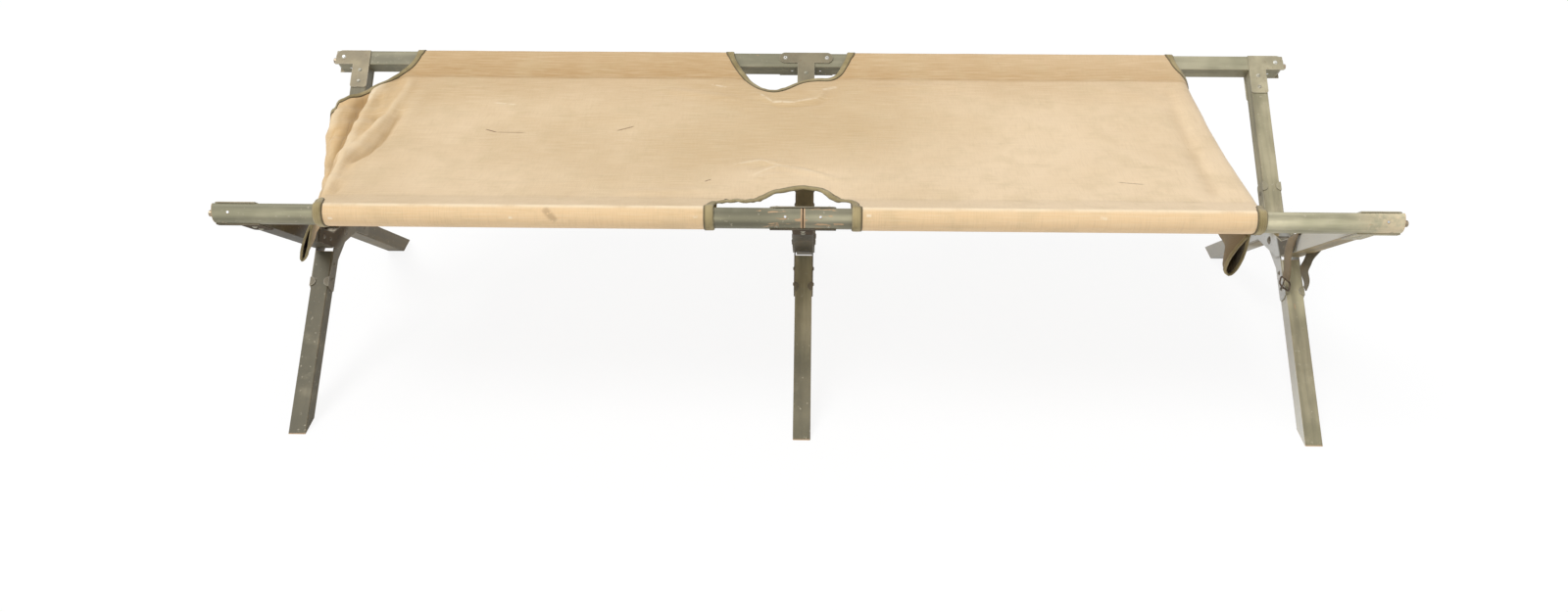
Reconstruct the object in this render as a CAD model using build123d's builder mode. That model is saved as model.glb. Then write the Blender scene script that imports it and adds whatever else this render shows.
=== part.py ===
"""Folding cot: two crossed leg frames, split side rails and a canvas bed, in millimetres.

The origin is on the floor under the middle of the cot. X runs along the cot, Y from the
front rail (-Y) to the rear rail (+Y), and Z is up. The front frame is the rear frame turned
half round about Z, so both come from the same functions: x counts along the cot, s runs up
the leg from the crossing pivot and n stands square to the leg frame, on its upper side.
"""
import os
from math import atan2, cos, radians, sin, sqrt

from build123d import *

# Timber
half_length = 978.0          # middle of the cot to the wooden end of a side rail
rail_height = 34.0           # rail section along the leg
timber_thickness = 31.0      # rails and legs, square to the leg frame
leg_width = 32.0             # rear legs, along the cot
rail_outer_round = 20.0
rail_inner_round = 6.0
timber_edge = 1.5
rail_end_bevel = 9.0
rail_butt_gap = 2.0
timber_gap = 0.3             # between a leg's top and the rail above it

# Stance
leg_slope = 37.1             # degrees above the floor with the cot open
rail_centre_height = 445.0
rail_reach = 400.0           # crossing pivot to the middle of the rail
nest_gap = 8.0               # half the room left between the frames when they close
timber_start = 57.0          # crossing pivot to the nearest timber of a leg
leg_inset = 54.0             # rail end to the middle of an end leg

# Steel
plate_thickness = 2.2
plate_gap = 0.3              # between the splice plates of two crossed legs
splice_length = 132.0        # crossing pivot to the end of a splice plate
splice_margin = 2.0          # timber left bare beside a splice plate
splice_corner = 6.0
ear_radius = 9.0
ear_inset = 12.0             # splice plate end to the middle of its folded ear
splice_rivet_spots = (78.0, 110.0)
tee_pivot_offset = 43.0      # middle of the cot to the rivet that a rail half turns on
tee_pivot_rise = 4.0         # that rivet above the middle of the rail
tee_arm_radius = 12.0
tee_stem_width = 35.0
stem_length = 54.0           # bracket stem below the rail
stem_rivet_spots = (14.0, 40.0)
bracket_corner = 5.0
back_arm_height = 13.0
corner_length = 71.0         # corner bracket along the rail
corner_stem_width = 34.0
corner_top_margin = 2.0
corner_nose_round = 14.0
corner_pivot_inset = 16.0    # rail end to the rivet that an end leg turns on
rivet_radius = 2.5
rivet_head_radius = 4.4
rivet_head_height = 1.9
rivet_clearance = 0.05
split_rivet_radius = 2.0
split_rivet_stand = 0.8
split_rivet_middle = 29.0    # middle of the cot to the inner split-stop rivet
split_rivet_inset = 28.0     # rail end to the outer split-stop rivet
pivot_radius = 4.0
pivot_head_radius = 8.0
pivot_head_height = 3.0
pivot_clearance = 0.05
spacer_radius = 8.0
spacer_gap = 0.2
end_pin_radius = 5.5
end_pin_length = 10.0
end_pin_edge = 1.0
end_shank_radius = 4.0       # the pin's part inside the rail
end_shank_depth = 9.0

# Canvas
canvas_thickness = 1.4
canvas_gap = 0.3
canvas_shift = -27.0         # the canvas has crept along the rails
sleeve_inner = 110.0         # middle of the canvas to the cut-out's edge
sleeve_end_gap = 197.0       # rail end to the sleeve's end, before the canvas crept
cutout_depth = 125.0          # from the rail towards the middle of the bed
seam_inset = 75.0            # where the bed leaves the sleeve to the sleeve's seam
seam_drop = 26.0
sag = 10.0                   # the bed's middle below its seams
flap_width = 524.0           # end flap across the cot
flap_fold = 36.0             # panel's end to the straight part of the flap
flap_web = 40.0              # single canvas above the stick pocket
pocket_length = 80.0
pocket_bulge = 16.0
pocket_seam = 3.0
flap_gap = 0.3
right_droop = (100.0, 97.0, 103.0, 96.0, 100.0)   # degrees below level, front to rear
left_droop = (66.0, 62.0, 46.0, 34.0, 22.0)
left_rear_corner = 160.0     # the left flap's crumpled rear corner, across the cot

# Tie strap on the right front leg
strap_spot = 152.0
strap_width = 20.0
strap_thickness = 1.8
strap_stand = 5.0
buckled_drop = 92.0
tail_drop = 104.0
buckle_width = 36.0
buckle_height = 24.0
buckle_bar = 3.2
buckle_thickness = 2.6
buckle_corner = 4.0
tongue_width = 3.0

# Worked-out places
cos_slope = cos(radians(leg_slope))
sin_slope = sin(radians(leg_slope))
timber_middle = nest_gap + timber_thickness / 2
outer_face = nest_gap + timber_thickness
pivot_height = rail_centre_height - rail_reach * sin_slope + timber_middle * cos_slope
rail_bottom = rail_reach - rail_height / 2
rail_top = rail_reach + rail_height / 2
end_leg_x = half_length - leg_inset
sleeve_outer = half_length - sleeve_end_gap
leg_widths = {"rear": leg_width, "front": leg_width + 2 * (plate_thickness + plate_gap)}
turns = {"rear": 1, "front": -1}
sides = {"left": -1, "right": 1}
leg_places = {"left": -end_leg_x, "middle": 0.0, "right": end_leg_x}

os.makedirs("parts", exist_ok=True)


def section_plane(turn, x):
    """Plane across the cot at x: sketch X runs up the leg, sketch Y stands off it."""
    return Plane(
        origin=(x, 0, pivot_height),
        x_dir=(0, turn * cos_slope, sin_slope),
        z_dir=(turn, 0, 0),
    )


def face_plane(turn, n):
    """Plane along a leg frame: sketch X runs along the cot, sketch Y up the leg."""
    return Plane(
        origin=(0, -turn * sin_slope * n, pivot_height + cos_slope * n),
        x_dir=(turn, 0, 0),
        z_dir=(0, -turn * sin_slope, cos_slope),
    )


def world_point(turn, s, n):
    """Y and Z of a point given along a leg and off it."""
    across = turn * (s * cos_slope - n * sin_slope)
    return across, pivot_height + s * sin_slope + n * cos_slope


def save(piece, name):
    piece.label = name
    export_step(piece, f"parts/{name}.step")


def rail_outline(grow):
    """Rail section in the current sketch, grown evenly on all sides."""
    with Locations((rail_reach, -timber_middle)):
        Rectangle(rail_height + 2 * grow, timber_thickness + 2 * grow)
    top = vertices().group_by(Axis.X)[-1].sort_by(Axis.Y)
    fillet(top[0], rail_outer_round + grow)
    fillet(vertices().group_by(Axis.X)[-1].sort_by(Axis.Y)[-1], rail_inner_round + grow)
    fillet(vertices().group_by(Axis.X)[0], timber_edge + grow)


def along_n(turn, x, s):
    """Place square to a leg frame, at x along the cot."""
    return face_plane(turn, 0).location * Location((turn * x, s, 0))


def along_x(turn, x, s, n):
    """Place along the cot, at a point of a leg's section."""
    return section_plane(turn, x).location * Location((s, n, 0))


def along_s(turn, x):
    """Place running up the leg through the middle of a rail."""
    return along_x(turn, x, rail_reach, -timber_middle) * Location((0, 0, 0), (0, 90, 0))


def rail_rivet_spots(end):
    """X of the two rivets that hold a rail half: at the tee and at the corner bracket."""
    return end * tee_pivot_offset, end * (half_length - corner_pivot_inset)


def split_rivet_spots(end):
    return end * split_rivet_middle, end * (half_length - split_rivet_inset)


def make_rail(frame, side):
    turn, end = turns[frame], sides[side]
    length = half_length - rail_butt_gap / 2
    pivot_rise = (tee_pivot_rise, 0.0)
    with BuildPart() as rail:
        with BuildSketch(section_plane(turn, end * rail_butt_gap / 2)):
            rail_outline(0)
        extrude(amount=turn * end * length)
        tip = turn * end * half_length
        with BuildSketch(face_plane(turn, 0)):
            Polygon((tip, rail_bottom), (tip, rail_bottom + rail_end_bevel),
                    (tip - turn * end * rail_end_bevel, rail_bottom), align=None)
        extrude(amount=-2 * outer_face, mode=Mode.SUBTRACT)
        for x, rise in zip(rail_rivet_spots(end), pivot_rise):
            with Locations(along_n(turn, x, rail_reach + rise)):
                Hole(rivet_radius + rivet_clearance)
        for x in split_rivet_spots(end):
            with Locations(along_s(turn, x)):
                Hole(split_rivet_radius + rivet_clearance)
        with BuildSketch(section_plane(turn, end * half_length)):
            with Locations((rail_reach, -timber_middle)):
                Circle(end_shank_radius + rivet_clearance)
        extrude(amount=-turn * end * end_shank_depth, mode=Mode.SUBTRACT)
    save(rail.part, f"rail_{frame}_{side}")


def make_leg_upper(frame, place):
    turn, x, width = turns[frame], leg_places[place], leg_widths[frame]
    top = rail_bottom - timber_gap
    with BuildPart() as leg:
        with BuildSketch(section_plane(turn, x)):
            with Locations(((timber_start + top) / 2, -timber_middle)):
                Rectangle(top - timber_start, timber_thickness)
        extrude(amount=width / 2, both=True)
        fillet(edges().filter_by(Axis((0, 0, 0), (0, turn * cos_slope, sin_slope))), timber_edge)
        for spot in stem_rivet_spots:
            with Locations(along_n(turn, x, rail_bottom - spot)):
                Hole(rivet_radius + rivet_clearance)
        for spot in splice_rivet_spots:
            with Locations(along_x(turn, x, spot, -timber_middle)):
                Hole(rivet_radius + rivet_clearance)
    save(leg.part, f"leg_{frame}_{place}_upper")


def make_leg_lower(frame, place):
    turn, x, width = turns[frame], leg_places[place], leg_widths[frame]
    below_floor = (pivot_height + outer_face) / sin_slope + outer_face
    with BuildPart() as leg:
        with BuildSketch(section_plane(turn, x)):
            with Locations((-(timber_start + below_floor) / 2, timber_middle)):
                Rectangle(below_floor - timber_start, timber_thickness)
        extrude(amount=width / 2, both=True)
        fillet(edges().filter_by(Axis((0, 0, 0), (0, turn * cos_slope, sin_slope))), timber_edge)
        for spot in splice_rivet_spots:
            with Locations(along_x(turn, x, -spot, timber_middle)):
                Hole(rivet_radius + rivet_clearance)
        split(bisect_by=Plane.XY, keep=Keep.TOP)
    save(leg.part, f"leg_{frame}_{place}_lower")


def splice_outline():
    """Stepped plate in the current sketch: upper timber, crossing pivot, lower timber."""
    near = nest_gap + splice_margin
    far = outer_face - splice_margin
    shoulder = timber_start + splice_corner
    waist = shoulder - (far - near)
    half = [(splice_length, -far), (splice_length, -near), (shoulder, -near), (-waist, far)]
    Polygon(*half, *[(-s, -n) for s, n in half], align=None)
    fillet(vertices(), splice_corner)


def make_splice_plates(frame, place):
    turn, x, width = turns[frame], leg_places[place], leg_widths[frame]
    ear_spot = splice_length - ear_inset
    ear_faces = ((ear_spot, -nest_gap), (-ear_spot, outer_face))
    web_reach = splice_margin + splice_corner
    with BuildPart() as plates:
        for face in (-1, 1):
            start = section_plane(turn, x + face * turn * width / 2)
            with BuildSketch(start):
                splice_outline()
                with Locations(*[(s, n + (plate_thickness - web_reach) / 2) for s, n in ear_faces]):
                    Rectangle(2 * ear_radius, plate_thickness + web_reach)
                with Locations(*[(side * spot, -side * timber_middle)
                                 for side in (-1, 1) for spot in splice_rivet_spots]):
                    Circle(rivet_radius + rivet_clearance, mode=Mode.SUBTRACT)
                Circle(pivot_radius + pivot_clearance, mode=Mode.SUBTRACT)
            extrude(amount=face * plate_thickness)
            edge = turn * x + face * (width / 2 + plate_thickness / 2)
            for s, n in ear_faces:
                with BuildSketch(face_plane(turn, n)):
                    with Locations((edge, s)):
                        Circle(ear_radius)
                        with Locations((face * ear_radius, 0)):
                            Rectangle(2 * ear_radius, 2 * ear_radius, mode=Mode.SUBTRACT)
                extrude(amount=plate_thickness)
    save(plates.part, f"splice_plates_{frame}_{place}")


def make_tee(frame):
    turn = turns[frame]
    arm_middle = rail_reach + tee_pivot_rise
    foot = rail_bottom - stem_length
    back_width = 2 * (tee_pivot_offset + tee_arm_radius)
    with BuildPart() as tee:
        with BuildSketch(face_plane(turn, -nest_gap)):
            with Locations((0, arm_middle)):
                SlotCenterToCenter(2 * tee_pivot_offset, 2 * tee_arm_radius)
            with Locations((0, (arm_middle + foot) / 2)):
                Rectangle(tee_stem_width, arm_middle - foot)
            fillet(vertices().group_by(Axis.Y)[0], bracket_corner)
            tee_holes(arm_middle)
        extrude(amount=plate_thickness)
        with BuildSketch(face_plane(turn, -outer_face)):
            with Locations((0, (rail_bottom + foot) / 2)):
                Rectangle(tee_stem_width, rail_bottom - foot)
            with Locations((0, rail_bottom + back_arm_height / 2)):
                Rectangle(back_width, back_arm_height)
            fillet(vertices().group_by(Axis.Y)[0], bracket_corner)
            tee_holes(arm_middle)
        extrude(amount=-plate_thickness)
    save(tee.part, f"tee_bracket_{frame}")


def tee_holes(arm_middle):
    """Rivet holes of a tee in the current sketch."""
    spots = [(-tee_pivot_offset, arm_middle), (tee_pivot_offset, arm_middle)]
    spots += [(0, rail_bottom - spot) for spot in stem_rivet_spots]
    with Locations(*spots):
        Circle(rivet_radius + rivet_clearance, mode=Mode.SUBTRACT)


def make_corner(frame, side):
    turn, end = turns[frame], sides[side]
    way = turn * end
    tip = way * half_length
    foot = rail_bottom - stem_length
    arm_top = rail_top - corner_top_margin
    arm_middle_x = tip - way * corner_length / 2
    stem_x = tip - way * leg_inset
    with BuildPart() as corner:
        with BuildSketch(face_plane(turn, -nest_gap)):
            with Locations((arm_middle_x, (rail_bottom + arm_top) / 2)):
                Rectangle(corner_length, arm_top - rail_bottom)
            nose = vertices().group_by(Axis.Y)[-1].sort_by(Axis.X)[-1 if way > 0 else 0]
            fillet(nose, corner_nose_round)
            with Locations((stem_x, (rail_reach + foot) / 2)):
                Rectangle(corner_stem_width, rail_reach - foot)
            fillet(vertices().group_by(Axis.Y)[0], bracket_corner)
            corner_holes(way, stem_x)
        extrude(amount=plate_thickness)
        with BuildSketch(face_plane(turn, -outer_face)):
            with Locations((stem_x, (rail_bottom + foot) / 2)):
                Rectangle(corner_stem_width, rail_bottom - foot)
            with Locations((arm_middle_x, rail_bottom + back_arm_height / 2)):
                Rectangle(corner_length, back_arm_height)
            fillet(vertices().group_by(Axis.Y)[0], bracket_corner)
            corner_holes(way, stem_x)
        extrude(amount=-plate_thickness)
    save(corner.part, f"corner_bracket_{frame}_{side}")


def corner_holes(way, stem_x):
    """Rivet holes of a corner bracket in the current sketch."""
    spots = [(way * (half_length - corner_pivot_inset), rail_reach)]
    spots += [(stem_x, rail_bottom - spot) for spot in stem_rivet_spots]
    with Locations(*spots):
        Circle(rivet_radius + rivet_clearance, mode=Mode.SUBTRACT)


def rivet(place, low, high, radius, head_radius, head_height, low_head=True):
    """Shank from low to high along a place's Z, with a low domed head at its ends."""
    crown = head_radius / 2
    with Locations(place * Location((0, 0, (low + high) / 2))):
        Cylinder(radius, high - low)
    with Locations(place * Location((0, 0, high + head_height / 2))):
        Cone(head_radius, crown, head_height)
    if low_head:
        with Locations(place * Location((0, 0, low - head_height / 2))):
            Cone(crown, head_radius, head_height)


def face_rivet(turn, x, s):
    """Rivet that a rail turns on: its tail ends flush in the rounded side of the rail."""
    rivet(along_n(turn, x, s), -outer_face, plate_thickness - nest_gap, rivet_radius,
          rivet_head_radius, rivet_head_height, low_head=False)


def stem_rivets(turn, x):
    for spot in stem_rivet_spots:
        rivet(along_n(turn, x, rail_bottom - spot), -outer_face - plate_thickness,
              plate_thickness - nest_gap, rivet_radius, rivet_head_radius, rivet_head_height)


def make_bracket_rivets(frame):
    turn = turns[frame]
    with BuildPart() as tee_rivets:
        for end in sides.values():
            face_rivet(turn, end * tee_pivot_offset, rail_reach + tee_pivot_rise)
        stem_rivets(turn, 0)
    save(tee_rivets.part, f"tee_rivets_{frame}")
    with BuildPart() as corner_rivets:
        for end in sides.values():
            face_rivet(turn, end * (half_length - corner_pivot_inset), rail_reach)
            stem_rivets(turn, end * end_leg_x)
    save(corner_rivets.part, f"corner_rivets_{frame}")


def make_split_rivets(frame):
    """Rivets driven up through the rail ends, which stop the timber from splitting."""
    turn = turns[frame]
    outer_drop = timber_thickness / 2 - rail_outer_round
    crown = rail_height / 2 - rail_outer_round + sqrt(rail_outer_round**2 - outer_drop**2)
    length = crown + split_rivet_stand + rail_height / 2
    with BuildPart() as rivets:
        for end in sides.values():
            for x in split_rivet_spots(end):
                middle = Location((0, 0, crown + split_rivet_stand - length / 2))
                with Locations(along_s(turn, x) * middle):
                    Cylinder(split_rivet_radius, length)
    save(rivets.part, f"split_rivets_{frame}")


def make_splice_rivets(frame):
    turn, reach = turns[frame], leg_widths[frame] / 2 + plate_thickness
    with BuildPart() as rivets:
        for x in leg_places.values():
            for side in (-1, 1):
                for spot in splice_rivet_spots:
                    place = along_x(turn, x, side * spot, -side * timber_middle)
                    rivet(place, -reach, reach, rivet_radius, rivet_head_radius, rivet_head_height)
    save(rivets.part, f"splice_rivets_{frame}")


def make_pivot(place):
    """Crossing pivot: one pin through the four splice plates of two crossed legs."""
    x = leg_places[place]
    reach = leg_widths["front"] / 2 + plate_thickness
    with BuildPart() as pin:
        rivet(along_x(1, x, 0, 0), -reach, reach, pivot_radius, pivot_head_radius,
              pivot_head_height)
    save(pin.part, f"pivot_pin_{place}")
    with BuildPart() as spacer:
        with Locations(along_x(1, x, 0, 0)):
            Cylinder(spacer_radius, leg_width - 2 * spacer_gap)
            Cylinder(pivot_radius + pivot_clearance, leg_width, mode=Mode.SUBTRACT)
    save(spacer.part, f"pivot_spacer_{place}")


def make_end_pins(frame):
    """Studs on the rail ends that take the spreader sticks."""
    turn = turns[frame]
    with BuildPart() as pins:
        for end in sides.values():
            with BuildSketch(section_plane(turn, end * half_length)):
                with Locations((rail_reach, -timber_middle)):
                    Circle(end_pin_radius)
            extrude(amount=turn * end * end_pin_length)
            chamfer(faces().sort_by(Axis.X)[-1 if end > 0 else 0].edges(), end_pin_edge)
            with BuildSketch(section_plane(turn, end * half_length)):
                with Locations((rail_reach, -timber_middle)):
                    Circle(end_shank_radius)
            extrude(amount=-turn * end * end_shank_depth)
    save(pins.part, f"end_pins_{frame}")


def make_sleeve(frame, side):
    """Canvas tube sewn round one rail half."""
    turn, end = turns[frame], sides[side]
    start = canvas_shift + end * sleeve_inner
    length = turn * end * (sleeve_outer - sleeve_inner)
    with BuildPart() as sleeve:
        with BuildSketch(section_plane(turn, start)):
            rail_outline(canvas_gap + canvas_thickness)
        extrude(amount=length)
        with BuildSketch(section_plane(turn, start)):
            rail_outline(canvas_gap)
        extrude(amount=length, mode=Mode.SUBTRACT)
    save(sleeve.part, f"canvas_sleeve_{frame}_{side}")


def panel_edge():
    """Y and Z where the bed canvas leaves the top of the rear sleeve, square to its slope."""
    across, height = world_point(1, rail_top - rail_inner_round, -nest_gap - rail_inner_round)
    fall = atan2(seam_drop, seam_inset)
    stand = rail_inner_round + 2 * canvas_gap + canvas_thickness
    return across - stand * sin(fall), height + stand * cos(fall)


def make_panel():
    """Slack bed canvas, sloping in from the sleeves to its seams, with a scoop at each tee."""
    across, height = panel_edge()
    seam, seam_height = across - seam_inset, height - seam_drop
    with BuildPart() as panel:
        with BuildSketch(Plane.YZ.offset(canvas_shift - sleeve_outer)):
            with BuildLine():
                for lift in (0, canvas_thickness):
                    bed = ThreePointArc((-seam, seam_height + lift), (0, seam_height - sag + lift),
                                        (seam, seam_height + lift))
                    Line((-across, height + lift), bed @ 0)
                    Line(bed @ 1, (across, height + lift))
                for edge in (-across, across):
                    Line((edge, height), (edge, height + canvas_thickness))
            make_face()
        extrude(amount=2 * sleeve_outer)
        with BuildSketch(Plane.XY.offset(seam_height - 2 * sag)):
            with Locations((canvas_shift, across), (canvas_shift, -across)):
                Ellipse(sleeve_inner, cutout_depth)
        extrude(amount=seam_drop + 4 * sag, mode=Mode.SUBTRACT)
    save(panel.part, "canvas_panel")


def panel_top(y):
    """Height of the bed canvas's upper face at y, between its seams."""
    across, height = panel_edge()
    seam = across - seam_inset
    radius = (seam**2 + sag**2) / (2 * sag)
    return height - seam_drop - sag + radius - sqrt(radius**2 - y**2) + canvas_thickness


def flap_sections(way, y, droop):
    """Outline and pocket bore of a flap's section: over the fold, down, then the pocket."""
    half, full = radians(droop / 2), radians(droop)
    out_half = (way * cos(half), -sin(half))
    out_full = (way * cos(full), -sin(full))
    off_half = (way * sin(half), cos(half))
    off_full = (way * sin(full), cos(full))

    def step(point, direction, amount):
        return point[0] + direction[0] * amount, point[1] + direction[1] * amount

    start = (canvas_shift + way * (sleeve_outer + flap_gap), panel_top(y) - canvas_thickness)
    bend = step(start, out_half, flap_fold)
    pocket = step(bend, out_full, flap_web)
    middle = step(pocket, out_full, pocket_length / 2)
    foot = step(pocket, out_full, pocket_length)
    inner = (start, bend, pocket, middle, foot)
    doubled = 2 * canvas_thickness
    walls = (canvas_thickness, canvas_thickness, doubled, pocket_bulge, doubled)
    ways = ((0, 1), off_half, off_full, off_full, off_full)
    outer = [step(point, off, wall) for point, off, wall in zip(inner, ways, walls)]
    bore = [
        step(step(pocket, off_full, canvas_thickness), out_full, pocket_seam),
        step(middle, off_full, canvas_thickness),
        step(step(foot, off_full, canvas_thickness), out_full, -pocket_seam),
        step(middle, off_full, pocket_bulge - canvas_thickness),
    ]
    return [*inner, *outer[::-1]], bore


def make_flap(side, droops, rear_edge):
    """End flap with the empty stick pocket, hanging from the end of the panel."""
    way = sides[side]
    front_edge = -flap_width / 2
    pitch = (rear_edge - front_edge) / (len(droops) - 1)
    stations = [(front_edge + pitch * index, droop) for index, droop in enumerate(droops)]
    with BuildPart() as flap:
        for y, droop in stations:
            with BuildSketch(Plane.XZ.offset(-y)):
                Polygon(*flap_sections(way, y, droop)[0], align=None)
        loft(ruled=True)
        for y, droop in stations:
            with BuildSketch(Plane.XZ.offset(-y)):
                Polygon(*flap_sections(way, y, droop)[1], align=None)
        loft(ruled=True, mode=Mode.SUBTRACT)
    save(flap.part, f"canvas_flap_{side}")


def strap_top():
    """Y and Z of the middle of the strap on the right front leg."""
    return world_point(-1, strap_spot, -nest_gap)


def make_strap():
    """Webbing riveted across the leg, with both ends hanging beside it."""
    y, z = strap_top()
    reach = leg_widths["front"] / 2 + strap_stand
    with BuildPart() as strap:
        with BuildSketch(face_plane(-1, -nest_gap)):
            with Locations((-end_leg_x, strap_spot)):
                Rectangle(2 * (reach + strap_thickness), strap_width)
                Circle(rivet_radius + rivet_clearance, mode=Mode.SUBTRACT)
        extrude(amount=strap_thickness)
        for end, drop in ((-1, buckled_drop), (1, tail_drop)):
            with BuildSketch(Plane.YZ.offset(end_leg_x + end * reach)):
                with Locations((y, z - drop / 2)):
                    Rectangle(strap_width, drop)
            extrude(amount=end * strap_thickness)
    save(strap.part, "tie_strap")
    with BuildPart() as tack:
        rivet(along_n(-1, end_leg_x, strap_spot), -nest_gap, strap_thickness - nest_gap,
              rivet_radius, rivet_head_radius, rivet_head_height, low_head=False)
    save(tack.part, "strap_rivet")


def make_buckle():
    """Wire buckle at the end of the longer strap."""
    y, z = strap_top()
    x = end_leg_x - leg_widths["front"] / 2 - strap_stand - strap_thickness / 2
    centre = (y, z - buckled_drop - buckle_height / 2)
    with BuildPart() as buckle:
        with BuildSketch(Plane.YZ.offset(x - buckle_thickness / 2)):
            with Locations(centre):
                RectangleRounded(buckle_width, buckle_height, buckle_corner)
                Rectangle(buckle_width - 2 * buckle_bar, buckle_height - 2 * buckle_bar,
                          mode=Mode.SUBTRACT)
        extrude(amount=buckle_thickness)
    save(buckle.part, "strap_buckle")
    with BuildPart() as tongue:
        with BuildSketch(Plane.YZ.offset(x + buckle_thickness / 2)):
            with Locations(centre):
                Rectangle(tongue_width, buckle_height)
        extrude(amount=buckle_thickness / 2)
    save(tongue.part, "buckle_tongue")


for frame in turns:
    for side in sides:
        make_rail(frame, side)
        make_corner(frame, side)
        make_sleeve(frame, side)
    for place in leg_places:
        make_leg_upper(frame, place)
        make_leg_lower(frame, place)
        make_splice_plates(frame, place)
    make_tee(frame)
    make_bracket_rivets(frame)
    make_split_rivets(frame)
    make_splice_rivets(frame)
    make_end_pins(frame)

for place in leg_places:
    make_pivot(place)

make_panel()
make_flap("right", right_droop, flap_width / 2)
make_flap("left", left_droop, left_rear_corner)
make_strap()
make_buckle()
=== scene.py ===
"""Looks of the folding cot: worn paint on the timber and steel, and its slack canvas."""
from math import atan2, cos, degrees, dist, exp, hypot, pi, radians, sin, sqrt

import bpy
from mathutils import Matrix, Vector, noise


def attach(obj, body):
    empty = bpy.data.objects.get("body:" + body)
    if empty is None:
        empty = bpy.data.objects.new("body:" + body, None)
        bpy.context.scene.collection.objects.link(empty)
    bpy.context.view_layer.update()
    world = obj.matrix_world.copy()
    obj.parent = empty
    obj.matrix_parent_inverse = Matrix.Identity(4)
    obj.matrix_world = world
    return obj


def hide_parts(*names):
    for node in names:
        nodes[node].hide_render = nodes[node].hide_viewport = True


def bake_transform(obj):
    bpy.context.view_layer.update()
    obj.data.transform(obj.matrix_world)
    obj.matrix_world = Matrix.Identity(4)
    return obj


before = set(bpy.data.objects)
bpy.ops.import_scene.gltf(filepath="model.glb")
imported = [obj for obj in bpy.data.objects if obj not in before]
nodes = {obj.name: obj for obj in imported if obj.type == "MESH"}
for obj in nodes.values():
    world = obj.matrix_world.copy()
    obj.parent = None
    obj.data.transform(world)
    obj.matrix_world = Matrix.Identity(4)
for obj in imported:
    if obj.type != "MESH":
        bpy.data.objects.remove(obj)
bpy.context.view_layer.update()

# Frame sizes, in millimetres, as in the part's source
LEG_SLOPE = radians(37.1)
RAIL_CENTRE_HEIGHT = 445.0
RAIL_REACH = 400.0
RAIL_HEIGHT = 34.0
TIMBER_THICKNESS = 31.0
NEST_GAP = 8.0
TEE_PIVOT_OFFSET = 43.0
TEE_PIVOT_RISE = 4.0
RAIL_OUTER_ROUND = 20.0
RAIL_INNER_ROUND = 6.0
RAIL_EDGE_ROUND = 1.5
END_LEG_X = 924.0
FRONT_LEG_WIDTH = 37.0

# Canvas sizes, in millimetres
CANVAS_SHIFT = -27.0         # its middle from the cot's middle
CLOTH_THICKNESS = 1.2
CLOTH_STAND = 1.6            # cloth's middle off the rail
SLEEVE_OUTER = 781.0
SEAM_INSET = 75.0            # rail top to the sleeve's seam
SEAM_DROP = 26.0
SEAM_PLY = 2.0               # sleeve's end below the bed at the seam
LEAVING_TURN = -141          # degrees round the rail's lower edge where the sleeve leaves it
BED_SAG = 10.0               # bed below its seams
FLAP_HALF = 264.0
CORNER_RUN = 60.0            # scooped flap corner, along the cot
FLAP_FOLD = 36.0
FLAP_WEB = 40.0
POCKET = 80.0
LOOP_PEAK = 2.6              # brings the widest place of a pocket's loop to one
POCKET_PLY = 1.6             # loop's returning cloth off the cloth it meets
RIGHT_POCKET = (9.0, 11.0)   # how far the loop's outer and inner cloth stand apart
LEFT_POCKET = (4.5, 4.0)
END_STEP = 3.0               # between points up a sleeve's end
END_GAP = 2.0                # from the seam to the first of them
BINDING_WIDTH = 11.0
BINDING_STAND = 1.5
BINDING_THICKNESS = 0.8
BINDING_RUN = 4.0            # tape's pattern between two points of its section
CORNER_STEPS = 24            # points round a flap's scooped corner
WEAVE_PITCH = 1.6
STITCH_PITCH = 4.2
STITCH_WIDTH = 0.9
SEAM_ROW = 3.0               # row of stitches on each side of the seam's line
CROWN_LINE_OFFSET = 3.0              # pale line past the top of the rail: rubbed cloth and a painted highlight
UNDERSIDE = (384.0, 400.0)   # from the cloth's middle, where the sleeve turns under its rail

# Droop of the right flap in degrees, at even places from its front to its rear
RIGHT_DROOP = (105.0, 91.0, 93.0, 90.0, 96.0)

# The gathered left flap, at its front and at its rear: droop in degrees, flat run and bend
LEFT_DROOP = (67.0, 75.0)
LEFT_FLAT_RUN = (0.0, 75.0)
LEFT_BEND = (36.0, 80.0)
LEFT_REAR_CORNER = 145.0     # drawn in to here, across the cot

# Binding's section: how far in from the cut edge, and which face of the cloth it is on
BINDING_SECTION = (
    (BINDING_WIDTH, 0.55), (BINDING_WIDTH - 1, 1), (BINDING_WIDTH / 2, 1), (0.6, 1),
    (-0.8, 0), (0.6, -1), (BINDING_WIDTH / 2, -1), (BINDING_WIDTH, -1),
)

# Frayed spots of the front scoop's binding: place along the cot, then where fraying is full and ends
FRAYED_SPOTS = ((-105.0, 20.0, 55.0), (46.0, 8.0, 25.0))
FRAYED_RIPPLE = 2.6
BINDING_RIPPLE = 0.5

# Where the cloth lies near a middle cutout
SCOOP_MIDDLE = -30.0
SCOOP_REACH = 200.0
SCOOP_FOOT = 120.0
SCOOP_SNAP = 9.0             # how near an edge's point has to be to move onto the cutout

# Middle cutouts: along the cot, and in from the top of the rail
REAR_SCOOP = (
    (-151, -14), (-150, 0), (-147, 15), (-136, 38), (-121, 63), (-100, 94), (-79, 112), (-59, 118),
    (-40, 105), (-20, 84), (-1, 73), (19, 69), (45, 66), (62, 57), (73, 36), (82, 13), (85, 0), (86, -14),
)
FRONT_SCOOP = (
    (-148, -14), (-148, 0), (-147, 22), (-143, 40), (-128, 50), (-95, 56), (-68, 78), (-48, 100),
    (-29, 112), (-9, 121), (8, 117), (31, 107), (47, 86), (60, 66), (73, 56), (81, 40), (82, 22),
    (82, 0), (82, -14),
)

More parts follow.
